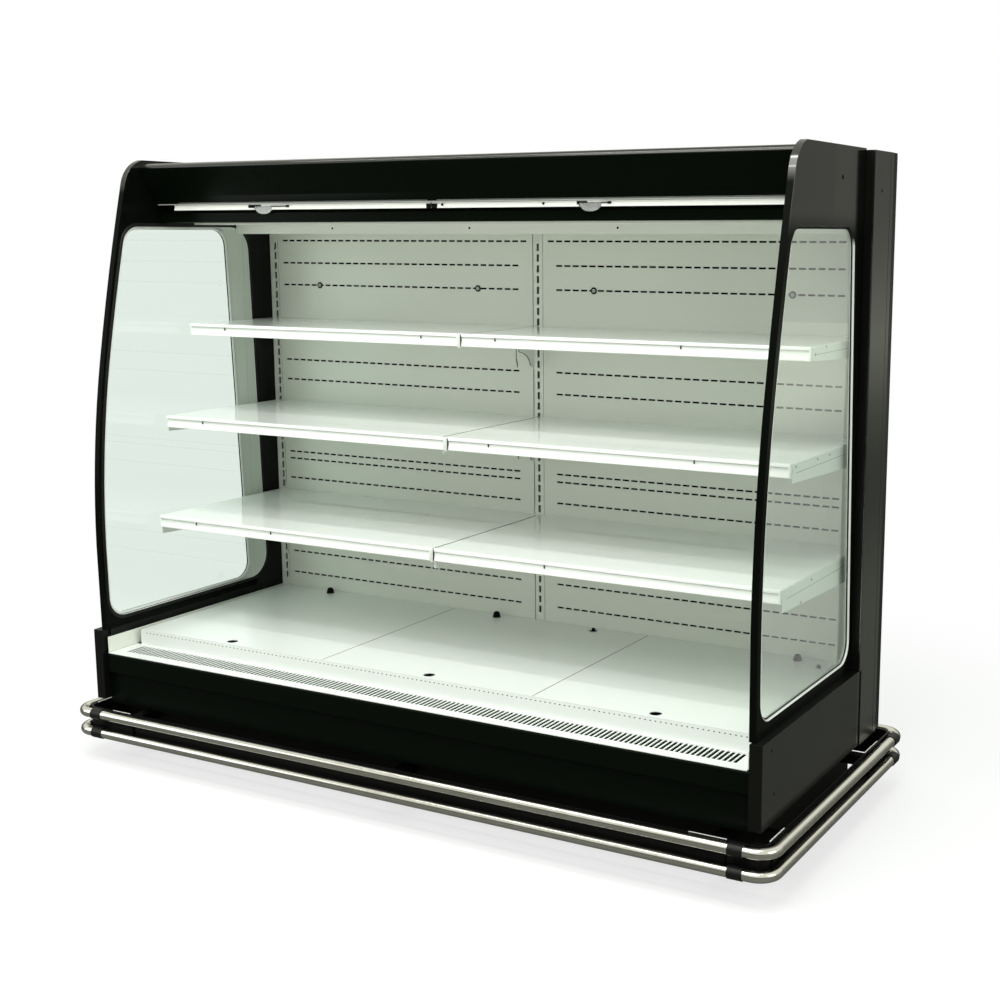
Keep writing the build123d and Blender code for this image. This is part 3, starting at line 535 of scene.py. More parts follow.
def punching_tree():
    """Nodes that stretch a side line into a sheet and punch rows of slots through it."""
    tree, keys, node, given = new_group("punched_sheet", "Sheet", {
        "Line": "Geometry", "Slots": "Int", "Pitch": "Float", "Slot length": "Float",
        "First": "Float", "Left end": "Float", "Right end": "Float", "Finish": "Material"})
    line, slots, pitch, slot_long, first, left, right, paint = given
    rows = node("GeometryNodeAttributeDomainSize", {0: line}, component="MESH")
    last = slots * 2 + 1
    grid = node("GeometryNodeMeshGrid", {"Vertices X": last + 1, "Vertices Y": rows})
    index = node("GeometryNodeInputIndex")
    column = index // rows
    place = node("GeometryNodeInputPosition")
    level = node("GeometryNodeSampleIndex",
                 {"Geometry": line, "Value": place, "Index": index % rows},
                 data_type="FLOAT_VECTOR")
    step = (column - 1) // 2.0
    x = first + step * pitch + (column - 1 - step * 2) * slot_long
    x = x + (column < 0.5) * (left - x)
    x = x + (column > last - 0.5) * (right - x)
    depth, height = split(level)[1:]
    spot = node("CombineXYZ", {0: x, 1: depth, 2: height})
    moved = node("GeometryNodeSetPosition", {"Geometry": grid, "Position": spot})
    face_row = index % (rows - 1)
    face_column = index // (rows - 1)
    slot = (face_column - 1) // 2.0
    bounds = []
    for name in ("slot_from", "slot_to"):
        value = node("GeometryNodeInputNamedAttribute", {"Name": name}, data_type="FLOAT")
        bounds.append(node("GeometryNodeSampleIndex",
                           {"Geometry": line, "Value": value, "Index": face_row},
                           data_type="FLOAT"))
    punched = ((face_column % 2.0) > 0.5) * (slot > bounds[0] - 0.5) * (slot < bounds[1] - 0.5)
    holed = node("GeometryNodeDeleteGeometry", {"Geometry": moved, "Selection": punched},
                 domain="FACE")
    close_group(tree, node("GeometryNodeRealizeInstances", {"Geometry": holed}),
                paint)
    return tree, keys


punching = punching_tree()


def grown(maker, group, values):
    """What a group of nodes makes of a maker object, as a plain piece; the maker goes."""
    name = maker.name
    nodes = maker.modifiers.new("nodes", "NODES")
    nodes.node_group, keys = group
    for socket, value in values.items():
        nodes[keys[socket]] = value
    bpy.context.view_layer.update()
    graph = bpy.context.evaluated_depsgraph_get()
    data = bpy.data.meshes.new_from_object(maker.evaluated_get(graph))
    data.name = name
    bpy.data.objects.remove(maker)
    return placed(name, data)


def thicken(piece, thick):
    """Gives a sheet its thickness, behind the side that shows."""
    wall = piece.modifiers.new("thickness", "SOLIDIFY")
    wall.thickness = thick
    wall.offset = -1.0
    wall.use_even_offset = True


def punched_sheet(name, line, ends, slots, thick, material):
    """A sheet with rows of slots. line is (y, z, first slot, slot after the last) per level."""
    data = bpy.data.meshes.new(name)
    points = [(0, y, z) for y, z, _, _ in line]
    data.from_pydata(points, [(i, i + 1) for i in range(len(points) - 1)], [])
    for place, key in ((2, "slot_from"), (3, "slot_to")):
        values = data.attributes.new(key, "FLOAT", "POINT")
        values.data.foreach_set("value", [float(level[place]) for level in line])
    count, pitch, long, first = slots
    piece = grown(placed(name, data), punching, {
        "Slots": count, "Pitch": pitch, "Slot length": long, "First": first,
        "Left end": ends[0], "Right end": ends[1], "Finish": material})
    thicken(piece, thick)
    return piece


def panel_levels(skip_first, skip_last, count):
    """Side line of an air panel: the bottom ledge, then the rows of dashes."""
    line = [(panel_low.y, panel_low.z + 0.002, 0, 0), (wall_face_y, panel_low.z + 0.002, 0, 0)]
    for z in dash_rows:
        full = z == dash_rows[-1]
        line.append((wall_face_y, z - dash_tall / 2, 0 if full else skip_first,
                     count if full else count - skip_last))
        line.append((wall_face_y, z + dash_tall / 2, 0, 0))
    line.append((wall_face_y, panel_high.z, 0, 0))
    return line


for side, dash_ends, count, skips in (("left", (-0.91, -0.037), 33, (0, 1)),
                                      ("right", (0.032, 0.891), 33, (1, 0))):
    low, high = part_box("back_panel_" + side)
    pitch = (dash_ends[1] - dash_ends[0] - dash_long) / (count - 1)
    sheet = punched_sheet("air_panel_" + side, panel_levels(*skips, count),
                          (low.x + 0.0012, high.x - 0.0022),
                          (count, pitch, dash_long, dash_ends[0]), 0.002, wall_white)
    seat(sheet, "cabinet", "white_steel", "back_panel_" + side)
    # A black plate behind each panel is painted shade: it makes the dashes read dark, as the space
    # behind them lies in shade.
    trim("dash_shade_plate_" + side, black_and_painted_shade, "black_plastic",
         ((low.x - 0.0002, high.x + 0.0006), (wall_face_y + 0.0045, wall_face_y + 0.0053),
          (low.z + 0.01, high.z - 0.006)))

upright_mesh = node_mesh("uprights")
upright_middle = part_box("uprights")[1].x - 0.015
slot_half = 0.0037
slot_shift = 0.0055
for vert in upright_mesh.verts:
    middle = round(vert.co.x / upright_middle) * upright_middle
    off = vert.co.x - middle
    if abs(off) < 0.004:
        inward = math.copysign(slot_shift, middle) if abs(middle) > 0.1 else 0.0
        vert.co.x = middle + math.copysign(slot_half, off) - inward
fitted("slotted_uprights", upright_mesh, wall_white, "white_steel", "uprights")


def turned(mesh, outline, spin, move, steps=20):
    """Adds a turned shape: (radius, height) pairs spun round Z, then turned and moved."""
    rings = []
    for radius, height in outline:
        ring = []
        for place in range(steps):
            angle = 2 * math.pi * place / steps
            spot = Vector((radius * math.cos(angle), radius * math.sin(angle), height))
            ring.append(mesh.verts.new(move + spin @ spot))
        rings.append(ring)
    for low, high in zip(rings, rings[1:]):
        for place in range(steps):
            after = (place + 1) % steps
            mesh.faces.new((low[place], low[after], high[after], high[place]))
    mesh.faces.new(rings[0][::-1])
    mesh.faces.new(rings[-1])


def studs(name, spots, shape, spin, material, slot, *nodes, steps=12):
    """Small turned heads or plugs at a list of places."""
    mesh = bmesh.new()
    for spot in spots:
        turned(mesh, shape, spin, Vector(spot), steps)
    fitted(name, mesh, material, slot, *nodes)


back_low, back_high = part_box("insulated_back")
screw_head = ((0.006, 0), (0.0058, 0.001), (0.0044, 0.0022), (0.0018, 0.0026), (0.0014, 0.0016))
screw_levels = (back_low.z + 0.03, back_low.z + 0.4, back_low.z + 0.77, back_high.z - 0.03)
studs("rear_screws", [(x, back_high.y, z) for x in (-0.93, -0.35, -0.29, 0.29, 0.35, 0.93)
                      for z in screw_levels],
      screw_head, Matrix.Rotation(math.radians(-90), 3, "X"), zinc, "zinc_steel")
trim("rear_seams", black_and_painted_shade, "black_panel",
     *(((x - 0.0012, x + 0.0012), (back_high.y - 0.0004, back_high.y + 0.0002),
        (back_low.z + 0.003, back_high.z - 0.003)) for x in (-0.32, 0.32)))

facing_front = Matrix.Rotation(math.radians(90), 3, "X")
plug_grey = grained("plug_grey", (0.42, 0.44, 0.42), 0.35, (90.0,), (0.2, 0.25))
plug_z = 1.291
plug_ring = ((0.0095, 0), (0.0095, 0.0012), (0.0086, 0.0022), (0.0064, 0.0022), (0.0058, 0.001))
plug_cap = ((0.0056, 0.0008), (0.0054, 0.0022), (0.0042, 0.003), (0.0022, 0.0031),
            (0.0016, 0.0024))
plug_spots = [(x, wall_face_y, plug_z) for x in (-0.77, -0.199, 0.178, 0.752)]
studs("wall_plug_rings", plug_spots, plug_ring, facing_front, black_and_painted_shade, "black_plastic",
      "wall_plugs", steps=20)
studs("wall_plug_caps", plug_spots, plug_cap, facing_front, plug_grey, "white_rail", steps=20)

# ---------------- intake grille, riser, deck and liners
# The white intake plate has one long row of slots. Behind it a riser with a row of
# small punched holes carries the front edge of three lift-out deck pans.

deck_white = powder_coat("deck_white", (0.8, 0.83, 0.8), 0.22, 0.5, 0.05, 0.02)
grille_low, grille_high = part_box("return_grille")
post_face = grille_low.y - 0.012
top_z = grille_high.z
grille = punched_sheet(
    "intake_plate",
    ((grille_low.y, top_z, 0, 0), (post_face + 0.043, top_z, 0, 142),
     (post_face + 0.109, top_z, 0, 0), (grille_high.y, top_z, 0, 0)),
    (grille_low.x, grille_high.x), (142, 0.013, 0.009, -0.9206), 0.002, deck_white)
seat(grille, "intake_grille", "white_steel", "return_grille")
trim("grille_shade", black_and_painted_shade, "black_plastic",
     ((-0.935, 0.935), (post_face + 0.039, post_face + 0.113), (top_z - 0.004, top_z - 0.0032)),
     body="intake_grille")

riser_low, riser_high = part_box("deck_riser")
riser_y = post_face + 0.12
hole_pitch = 0.0135
hole_count = 138
hole_level = 0.331
riser_line = [(riser_low.y, top_z - 0.002, 0, 0), (riser_y, top_z - 0.002, 0, 0),
              (riser_y, hole_level, 0, hole_count), (riser_y, hole_level + 0.0028, 0, 0),
              (riser_y, riser_high.z, 0, 0), (riser_high.y, riser_high.z, 0, 0)]
riser = punched_sheet("riser_sheet", riser_line, (-0.944, 0.9585),
                      (hole_count, hole_pitch, 0.0046, -hole_pitch * (hole_count - 1) / 2), 0.0012,
                      deck_white)
trim("riser_shade", black_and_painted_shade, "black_plastic",
     ((-0.938, 0.938), (riser_y + 0.002, riser_y + 0.0028), (0.327, 0.337)))
seat(riser, "cabinet", "white_steel", "deck_riser")
for name in ("left", "centre", "right"):
    soften("deck_pan_" + name, 0.0015, deck_white, "white_steel")
deck_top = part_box("deck_pan_centre")[1].z
stopper = ((0.0098, -0.001), (0.0098, 0.0026), (0.0088, 0.0052), (0.008, 0.01),
           (0.0062, 0.013), (0.003, 0.0144))
for name, spots in (("left", ((-0.744, 0.716),)), ("centre", ((-0.13, 0.715), (0.192, 0.716))),
                    ("right", ((0.8, 0.716), (0.873, 0.676)))):
    size = 1.15
    mesh = bmesh.new()
    for x, y in spots:
        turned(mesh, [(radius * size, height * size) for radius, height in stopper],
               Matrix.Identity(3), Vector((x, post_face + y, deck_top)))
        size = 0.6
    fitted("deck_plugs_" + name, mesh, black_and_painted_shade, "black_rubber", body="deck_" + name, smooth=40.0)
pan_low, pan_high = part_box("deck_pan_centre")
# Thin black strips along the joints between the deck pans are painted shade for the gaps.
trim("deck_gap_shade_strips", black_and_painted_shade, "black_rubber",
     *(((x - 0.0009, x + 0.0009), (post_face + 0.122, pan_high.y - 0.002),
        (deck_top - 0.001, deck_top + 0.0002)) for x in (pan_low.x, pan_high.x)),
     body="deck_centre")
soften("side_liners", 0.0008, wall_white, "white_steel")

# ---------------- curved ends and their glass
# Glossy black frames hold a tinted pane in a rubber seal. A pale bead runs round the
# pane, with painted shade in black along its top outside, and a lining of white steel,
# painted grey as shade, covers the splayed opening.

window_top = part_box("end_glass_right")[1].z
frame_inner, frame_outer = (end.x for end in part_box("end_frame_right"))


def brow_sheen(x, y, z):
    """Painted sheen: a gloss coat above the pane, with the soft upright edge of a painted
    reflection, and a painted highlight on the top of the nose.
    """
    outside = abs(x) > frame_outer - 0.0004
    brow = eased(z, window_top - 0.03, window_top + 0.04, 0.0, 0.9)
    behind = eased(y - z * 0.06, -0.098, -0.091, 0.0, 0.11)
    return outside * (brow + behind * brow) + (1.0 - outside) * eased(z, 1.55, 1.6, 0.0, 0.5)


end_black = powder_coat("end_black", (0.0022, 0.003, 0.002), 0.2, 0.03, 0.03,
                        sheen=brow_sheen, coat_index=2.4)
for side in ("left", "right"):
    soften("end_frame_" + side, 0.0016, end_black, "black_gloss", 3)
end_marks = ((frame_outer, 0.466, 1.572, 1.3), (side_out + 0.003, 0.682, 1.546, 0.9),
             (side_out, 0.053, 0.336, 0.8), (side_out, 0.071, 0.231, 0.8))
end_mark = ((0.0042, 0), (0.0042, 0.0004), (0.003, 0.0004), (0.0026, 0.0001))
for hand, name in ((1, "right"), (-1, "left")):
    mesh = bmesh.new()
    for x, y, z, size in end_marks:
        turned(mesh, [(radius * size, height) for radius, height in end_mark],
               Matrix.Rotation(math.radians(90 * hand), 3, "Y"),
               Vector((x * hand, post_face + y, z)), 16)
    fitted("end_plugs_" + name, mesh, black_and_painted_shade, "black_plastic")


def clear(name, colour, roughness, index, clearness):
    """A see-through material; returns it and its shader."""
    made, _, shader = blank_material(name, colour, roughness)
    shader.inputs["IOR"].default_value = index
    shader.inputs["Transmission Weight"].default_value = clearness
    return made, shader


# Both panes are the same glass; the paler tint of the right pane is painted light on what shows
# through it.
for side, tint in (("left", (0.785, 0.878, 0.815)), ("right", (0.955, 0.978, 0.945))):
    glass, glass_shader = clear("tinted_glass_" + side, tint, 0.0, 1.45, 1.0)
    lamp_ray = ray_kinds(glass.node_tree, "Is Shadow Ray", "Is Diffuse Ray")
    clear_way = add_node(glass.node_tree, "BsdfTransparent", {},
                         {"Color": (0.86, 0.93, 0.89, 1)})
    glass.node_tree.links.new(shaded(lamp_ray, Signal(glass_shader.outputs[0]), clear_way).socket,
                              glass.node_tree.nodes["Material Output"].inputs["Surface"])
    dress(glass, "end_glass_" + side)

rubber = grained("rubber", (0.004, 0.004, 0.004), 0.5, (350.0, 3.0), (0.25, 0.32),
                 bump=(0.15, 0.0004), specular=0.3)


def outward(points):
    """Outward ways at the points of a closed line in the side view."""
    ways = []
    for place, spot in enumerate(points):
        along = (points[(place + 1) % len(points)] - spot).normalized()
        along += (spot - points[place - 1]).normalized()
        ways.append(Vector((along.y, -along.x)).normalized())
    return ways


def ring(mesh, points, side, corners, x0=0.0):
    """Adds a ring along a closed line; its corners are (distance outwards, x from x0)."""
    loops = []
    for spot, way in zip(points, outward(points)):
        loops.append([mesh.verts.new((side * (x0 + x), *(spot + way * out)))
                      for out, x in corners])
    for place, near in enumerate(loops):
        far = loops[place - len(loops) + 1]
        for corner in range(len(corners)):
            after = (corner + 1) % len(corners)
            mesh.faces.new((near[corner], near[after], far[after], far[corner]))


def loop_of(spots):
    """A closed line through (y, z) spots, in their order round the middle of the pane."""
    return sorted((Vector(spot) for spot in spots),
                  key=lambda spot: math.atan2(*reversed(spot - edge_middle)))


edge_spots = {(round(v.co.y, 5), round(v.co.z, 5))
              for v in frame["nodes"]["end_glass_right"].data.vertices}
edge_middle = sum((Vector(spot) for spot in edge_spots), Vector((0, 0))) / len(edge_spots)
pane_edge = loop_of(edge_spots)
pane_inner, pane_outer = (end.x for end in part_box("end_glass_right"))
pane_skin = pane_inner - pane_outer
reveal_low, reveal_high, reveal_back = 0.385, 1.47, post_face + 0.7
reveal_faces = []
cold_spots = set()
for node in ("end_frame_right", "rear_column_right"):
    data = frame["nodes"][node].data
    for face in data.polygons:
        corners = [data.vertices[place].co for place in face.vertices]
        to_middle = edge_middle - Vector((face.center.y, face.center.z))
        inwards = Vector((face.normal.y, face.normal.z)).dot(to_middle) > 0
        between = all(frame_inner - 0.0005 < spot.x < frame_outer + 0.0005 for spot in corners)
        near = reveal_low < face.center.z < reveal_high and face.center.y < reveal_back
        if not (inwards and between and near):
            continue
        cold_spots |= {(round(spot.y, 4), round(spot.z, 4)) for spot in corners
                       if abs(spot.x - frame_inner) < 0.0003}
        if 0.05 < abs(face.normal.x) < 0.9995:
            reveal_faces.append(corners)
cold_opening = loop_of(cold_spots)

gasket_mesh, bead_mesh, jamb_mesh = bmesh.new(), bmesh.new(), bmesh.new()
for hand in (-1, 1):
    ring(gasket_mesh, pane_edge, hand, (
        (-0.003, 0), (-0.003, 0.0016), (-0.0018, 0.0022), (0.0002, 0.001), (0.0038, 0.001),
        (0.0038, pane_skin - 0.0008), (-0.0006, pane_skin - 0.0008), (-0.0006, 0)), pane_outer)
    ring(gasket_mesh, cold_opening, hand, (
        (0.0014, 0.002), (0.0014, -0.001), (0.0022, -0.0016), (0.007, -0.0016),
        (0.008, -0.0006), (0.009, -0.0006), (0.0102, -0.0017), (0.0114, -0.0006),
        (0.0116, 0.001)), frame_inner)
    ring(bead_mesh, pane_edge, hand, (
        (0.0036, frame_outer + 0.0004), (0.0026, frame_outer + 0.0006),
        (0.0006, pane_outer + 0.0018), (0.0006, pane_outer + 0.001), (0.0036, pane_outer + 0.001)))
    ring(bead_mesh, pane_edge, hand, (
        (-0.0032, 0), (-0.0026, -0.0014), (0.003, -0.0014), (0.003, 0)), pane_inner)
    ring(bead_mesh, cold_opening, hand, (
        (-0.0004, 0.0006), (-0.0004, -0.0008), (0.0004, -0.0014), (0.0012, -0.0008),
        (0.0012, 0.0006)), frame_inner)
    for corners in reveal_faces:
        face = [jamb_mesh.verts.new((hand * (spot.x - 0.0007), spot.y, spot.z))
                for spot in corners]
        jamb_mesh.faces.new(face if hand > 0 else face[::-1])
bmesh.ops.remove_doubles(jamb_mesh, verts=jamb_mesh.verts, dist=2e-5)
bmesh.ops.recalc_face_normals(gasket_mesh, faces=gasket_mesh.faces)
bmesh.ops.recalc_face_normals(bead_mesh, faces=bead_mesh.faces)
fitted("pane_gaskets", gasket_mesh, rubber, "black_rubber", "glass_seals", smooth=25.0)
bead_metal = grained("bead_metal", (0.82, 0.83, 0.81), 0.3, (60.0, 3.0), (0.2, 0.2))
bead_tree = bead_metal.node_tree
bead_x, _, bead_z = split(object_place(bead_tree))
# The top outside of the bead is painted black: painted shade where the bead faces down, away from
# the light.
bead_painted_shade = (abs(bead_x) > pane_outer) * eased(bead_z, window_top - 0.045, window_top - 0.022)
drive(bead_tree, bead_tree.nodes["Principled BSDF"], "Base Color",
      mixed(bead_painted_shade, (0.82, 0.83, 0.81), (0.004, 0.004, 0.004)))
fitted("glazing_beads", bead_mesh, bead_metal, "aluminium", smooth=25.0)
# The lining is white steel; its grey colour is painted shade, for the shadow in the splayed
# opening.
jamb_painted_shade = powder_coat("jamb_painted_shade", (0.6, 0.66, 0.6), 0.45, 0.4, 0.05, 0.03)
fitted("pane_reveals", jamb_mesh, jamb_painted_shade, "white_steel", smooth=25.0)

# ---------------- canopy
# A leaning black fascia with a rolled crown, the duct sheet behind it, a honeycomb
# that blows the air curtain down, and the white ceiling.


def crown_sheen(x, y, z):
    """Painted highlight: a gloss coat only on the rolled crown."""
    return eased(z, 1.6195, 1.6235, 0.03, 1.0)


canopy_black = powder_coat("canopy_black", (0.0018, 0.0032, 0.0017), 0.26, 0.04, 0.05,
                           sheen=crown_sheen)


def roll_edge(piece, width):
    """Rolls the sharp edges of a sheet."""
    roll = piece.modifiers.new("edge", "BEVEL")
    roll.width = width
    roll.segments = 2
    roll.limit_method = "ANGLE"


fascia_low, fascia_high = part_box("canopy_fascia")
crown_y, crown_z = post_face + 0.2238, 1.6208
crown_deep, crown_tall = 0.0142, 0.0132
fascia_line = [(post_face + 0.272, 1.5285), (post_face + 0.272, 1.546),
               (post_face + 0.2716, 1.5487), (crown_y, crown_z)]
for turn in range(15, 91, 15):
    fascia_line.append((crown_y + crown_deep * (1 - math.cos(math.radians(turn))),
                        crown_z + crown_tall * math.sin(math.radians(turn))))
fascia_line.append((fascia_high.y, fascia_high.z))
mesh = bmesh.new()
left, right = ([mesh.verts.new((x, y, z)) for y, z in fascia_line]
               for x in (fascia_low.x, fascia_high.x))
for place in range(len(fascia_line) - 1):
    mesh.faces.new((left[place], right[place], right[place + 1], left[place + 1]))
fascia = from_bmesh("fascia_sheet", mesh, canopy_black, 35.0)
thicken(fascia, 0.002)
roll_edge(fascia, 0.0006)
seat(fascia, "cabinet", "black_steel", "canopy_fascia")
dress(canopy_black, "air_duct_front")

ceiling_white = powder_coat("ceiling_white", (0.8, 0.82, 0.78), 0.4, 0.4, 0.08, 0.02)
ceiling_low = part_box("ceiling_panel")[0]
mesh = node_mesh("ceiling_panel")
for vert in mesh.verts:
    if vert.co.z < ceiling_low.z + 0.003 and vert.co.y < ceiling_low.y + 0.03:
        vert.co.x -= math.copysign(0.018, vert.co.x)
ceiling = from_bmesh("ceiling_sheet", mesh, ceiling_white)
roll_edge(ceiling, 0.0007)
seat(ceiling, "cabinet", "white_steel", "ceiling_panel")

flat_mark = ((0.003, 0), (0.003, 0.0003), (0.0016, 0.0003))
studs("ceiling_screws", [(x, ceiling_low.y, 1.459) for x in (-0.461, -0.014, 0.42)],
      flat_mark, facing_front, black_and_painted_shade, "black_plastic")


def honeycomb_tree():
    """Nodes that set one cell on every point of a staggered lattice."""
    tree, keys, node, given = new_group("honeycomb", "Comb", {
        "Cell": "Geometry", "Columns": "Int", "Rows": "Int", "Step X": "Float",
        "Step Y": "Float", "Middle": "Vector", "Finish": "Material"})
    cell, columns, rows, step_x, step_y, middle, paint = given
    grid = node("GeometryNodeMeshGrid",
                    {"Size X": (columns - 1) * step_x, "Size Y": (rows - 1) * step_y,
                     "Vertices X": columns, "Vertices Y": rows})
    index = node("GeometryNodeInputIndex")
    odd = (index % rows) % 2.0
    shift = node("CombineXYZ", {0: (odd - 0.5) * step_x * 0.5})
    place = node("VectorMath", {0: shift, 1: middle}, operation="ADD")
    laid = node("GeometryNodeSetPosition", {"Geometry": grid, "Offset": place})
    comb = node("GeometryNodeInstanceOnPoints", {"Points": laid, "Instance": cell})
    flat = node("GeometryNodeRealizeInstances", {"Geometry": comb})
    joined = node("GeometryNodeMergeByDistance",
                      {"Geometry": flat, "Distance": 0.00002})
    close_group(tree, joined, paint)
    return tree, keys


# The cells are black; their mid-grey colour is painted light, as they lie in the shade of the
# canopy.
comb_black_painted_light = grained("comb_black_painted_light", (0.21, 0.22, 0.17), 0.4, (80.0,), (0.3, 0.25), specular=0.4)
comb_low, comb_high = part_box("honeycomb_outlet")
cell_wide = 0.0092
cell_wall = 0.0011
cell_deep = 0.01
cell_span = cell_wide / math.sqrt(3)
cell_mesh = bmesh.new()
outer_ring, inner_ring, deep_ring = [], [], []
for place in range(6):
    angle = math.radians(60 * place + 30)
    way = Vector((math.cos(angle), math.sin(angle), 0))
    outer_ring.append(cell_mesh.verts.new(way * cell_span))
    inner_ring.append(cell_mesh.verts.new(way * (cell_span - cell_wall / 2)))
    deep_ring.append(cell_mesh.verts.new(inner_ring[-1].co + Vector((0, 0, cell_deep))))
for place in range(6):
    after = (place + 1) % 6
    for near, far in ((outer_ring, inner_ring), (inner_ring, deep_ring)):
        cell_mesh.faces.new((near[after], near[place], far[place], far[after]))
comb_maker = from_bmesh("air_honeycomb", cell_mesh, comb_black_painted_light)
row_step = cell_wide * math.sqrt(3) / 2
comb = grown(comb_maker, honeycomb_tree(), {
    "Columns": int((comb_high.x - comb_low.x - 1.5 * cell_wide) / cell_wide) + 1,
    "Rows": int((comb_high.y - comb_low.y - cell_wide) / row_step) + 1,
    "Step X": cell_wide, "Step Y": row_step,
    "Middle": (0.0, (comb_low.y + comb_high.y) / 2, comb_low.z), "Finish": comb_black_painted_light})
seat(comb, "cabinet", "black_plastic", "honeycomb_outlet")

# ---------------- night blinds
# Two roller blinds hang side by side behind the fascia, under a pale lip. Each ends in
# a pale bar with a clear half-round pull, and its white cloth runs up to the roll.

cloth_white, cloth_tree, cloth_shader = blank_material("blind_cloth", (0.8, 0.82, 0.8), 0.75,
                                                       specular=0.3)
cloth_place = object_place(cloth_tree)
weave, weft = (
    add_node(cloth_tree, "TexWave", {"bands_direction": way},
             {"Vector": cloth_place, "Scale": 320.0, "Distortion": 1.0, "Detail": 1.0})
    for way in ("X", "Z"))
threads = weave * 0.5 + weft * 0.5
bumped(cloth_tree, cloth_shader, threads, 0.25, 0.0003)
drive(cloth_tree, cloth_shader, "Base Color",
      mixed(threads, (0.72, 0.745, 0.72), (0.84, 0.86, 0.84)))
dress(cloth_white, "blind_roller_left", "blind_roller_right")

bar_metal, bar_tree, bar_shader = blank_material("bar_metal", (0.96, 0.97, 0.93), 0.3)
bar_place = add_node(bar_tree, "Mapping", {},
                     {"Vector": object_place(bar_tree), "Scale": (4.0, 300.0, 900.0)})
bar_lines = noise(bar_tree, 1.0, 3.0, place=bar_place)
drive(bar_tree, bar_shader, "Roughness", bar_lines * 0.2 + 0.2)
drive(bar_tree, bar_shader, "Base Color", mixed(bar_lines, (0.92, 0.93, 0.89), (0.98, 0.98, 0.95)))

clear_plastic = clear("clear_plastic", (0.93, 0.95, 0.93), 0.08, 1.49, 0.75)[0]


def section(y, z, corners):
    """The corners of a section, moved to its place in the side view."""
    return [(y + out, z + up) for out, up in corners]


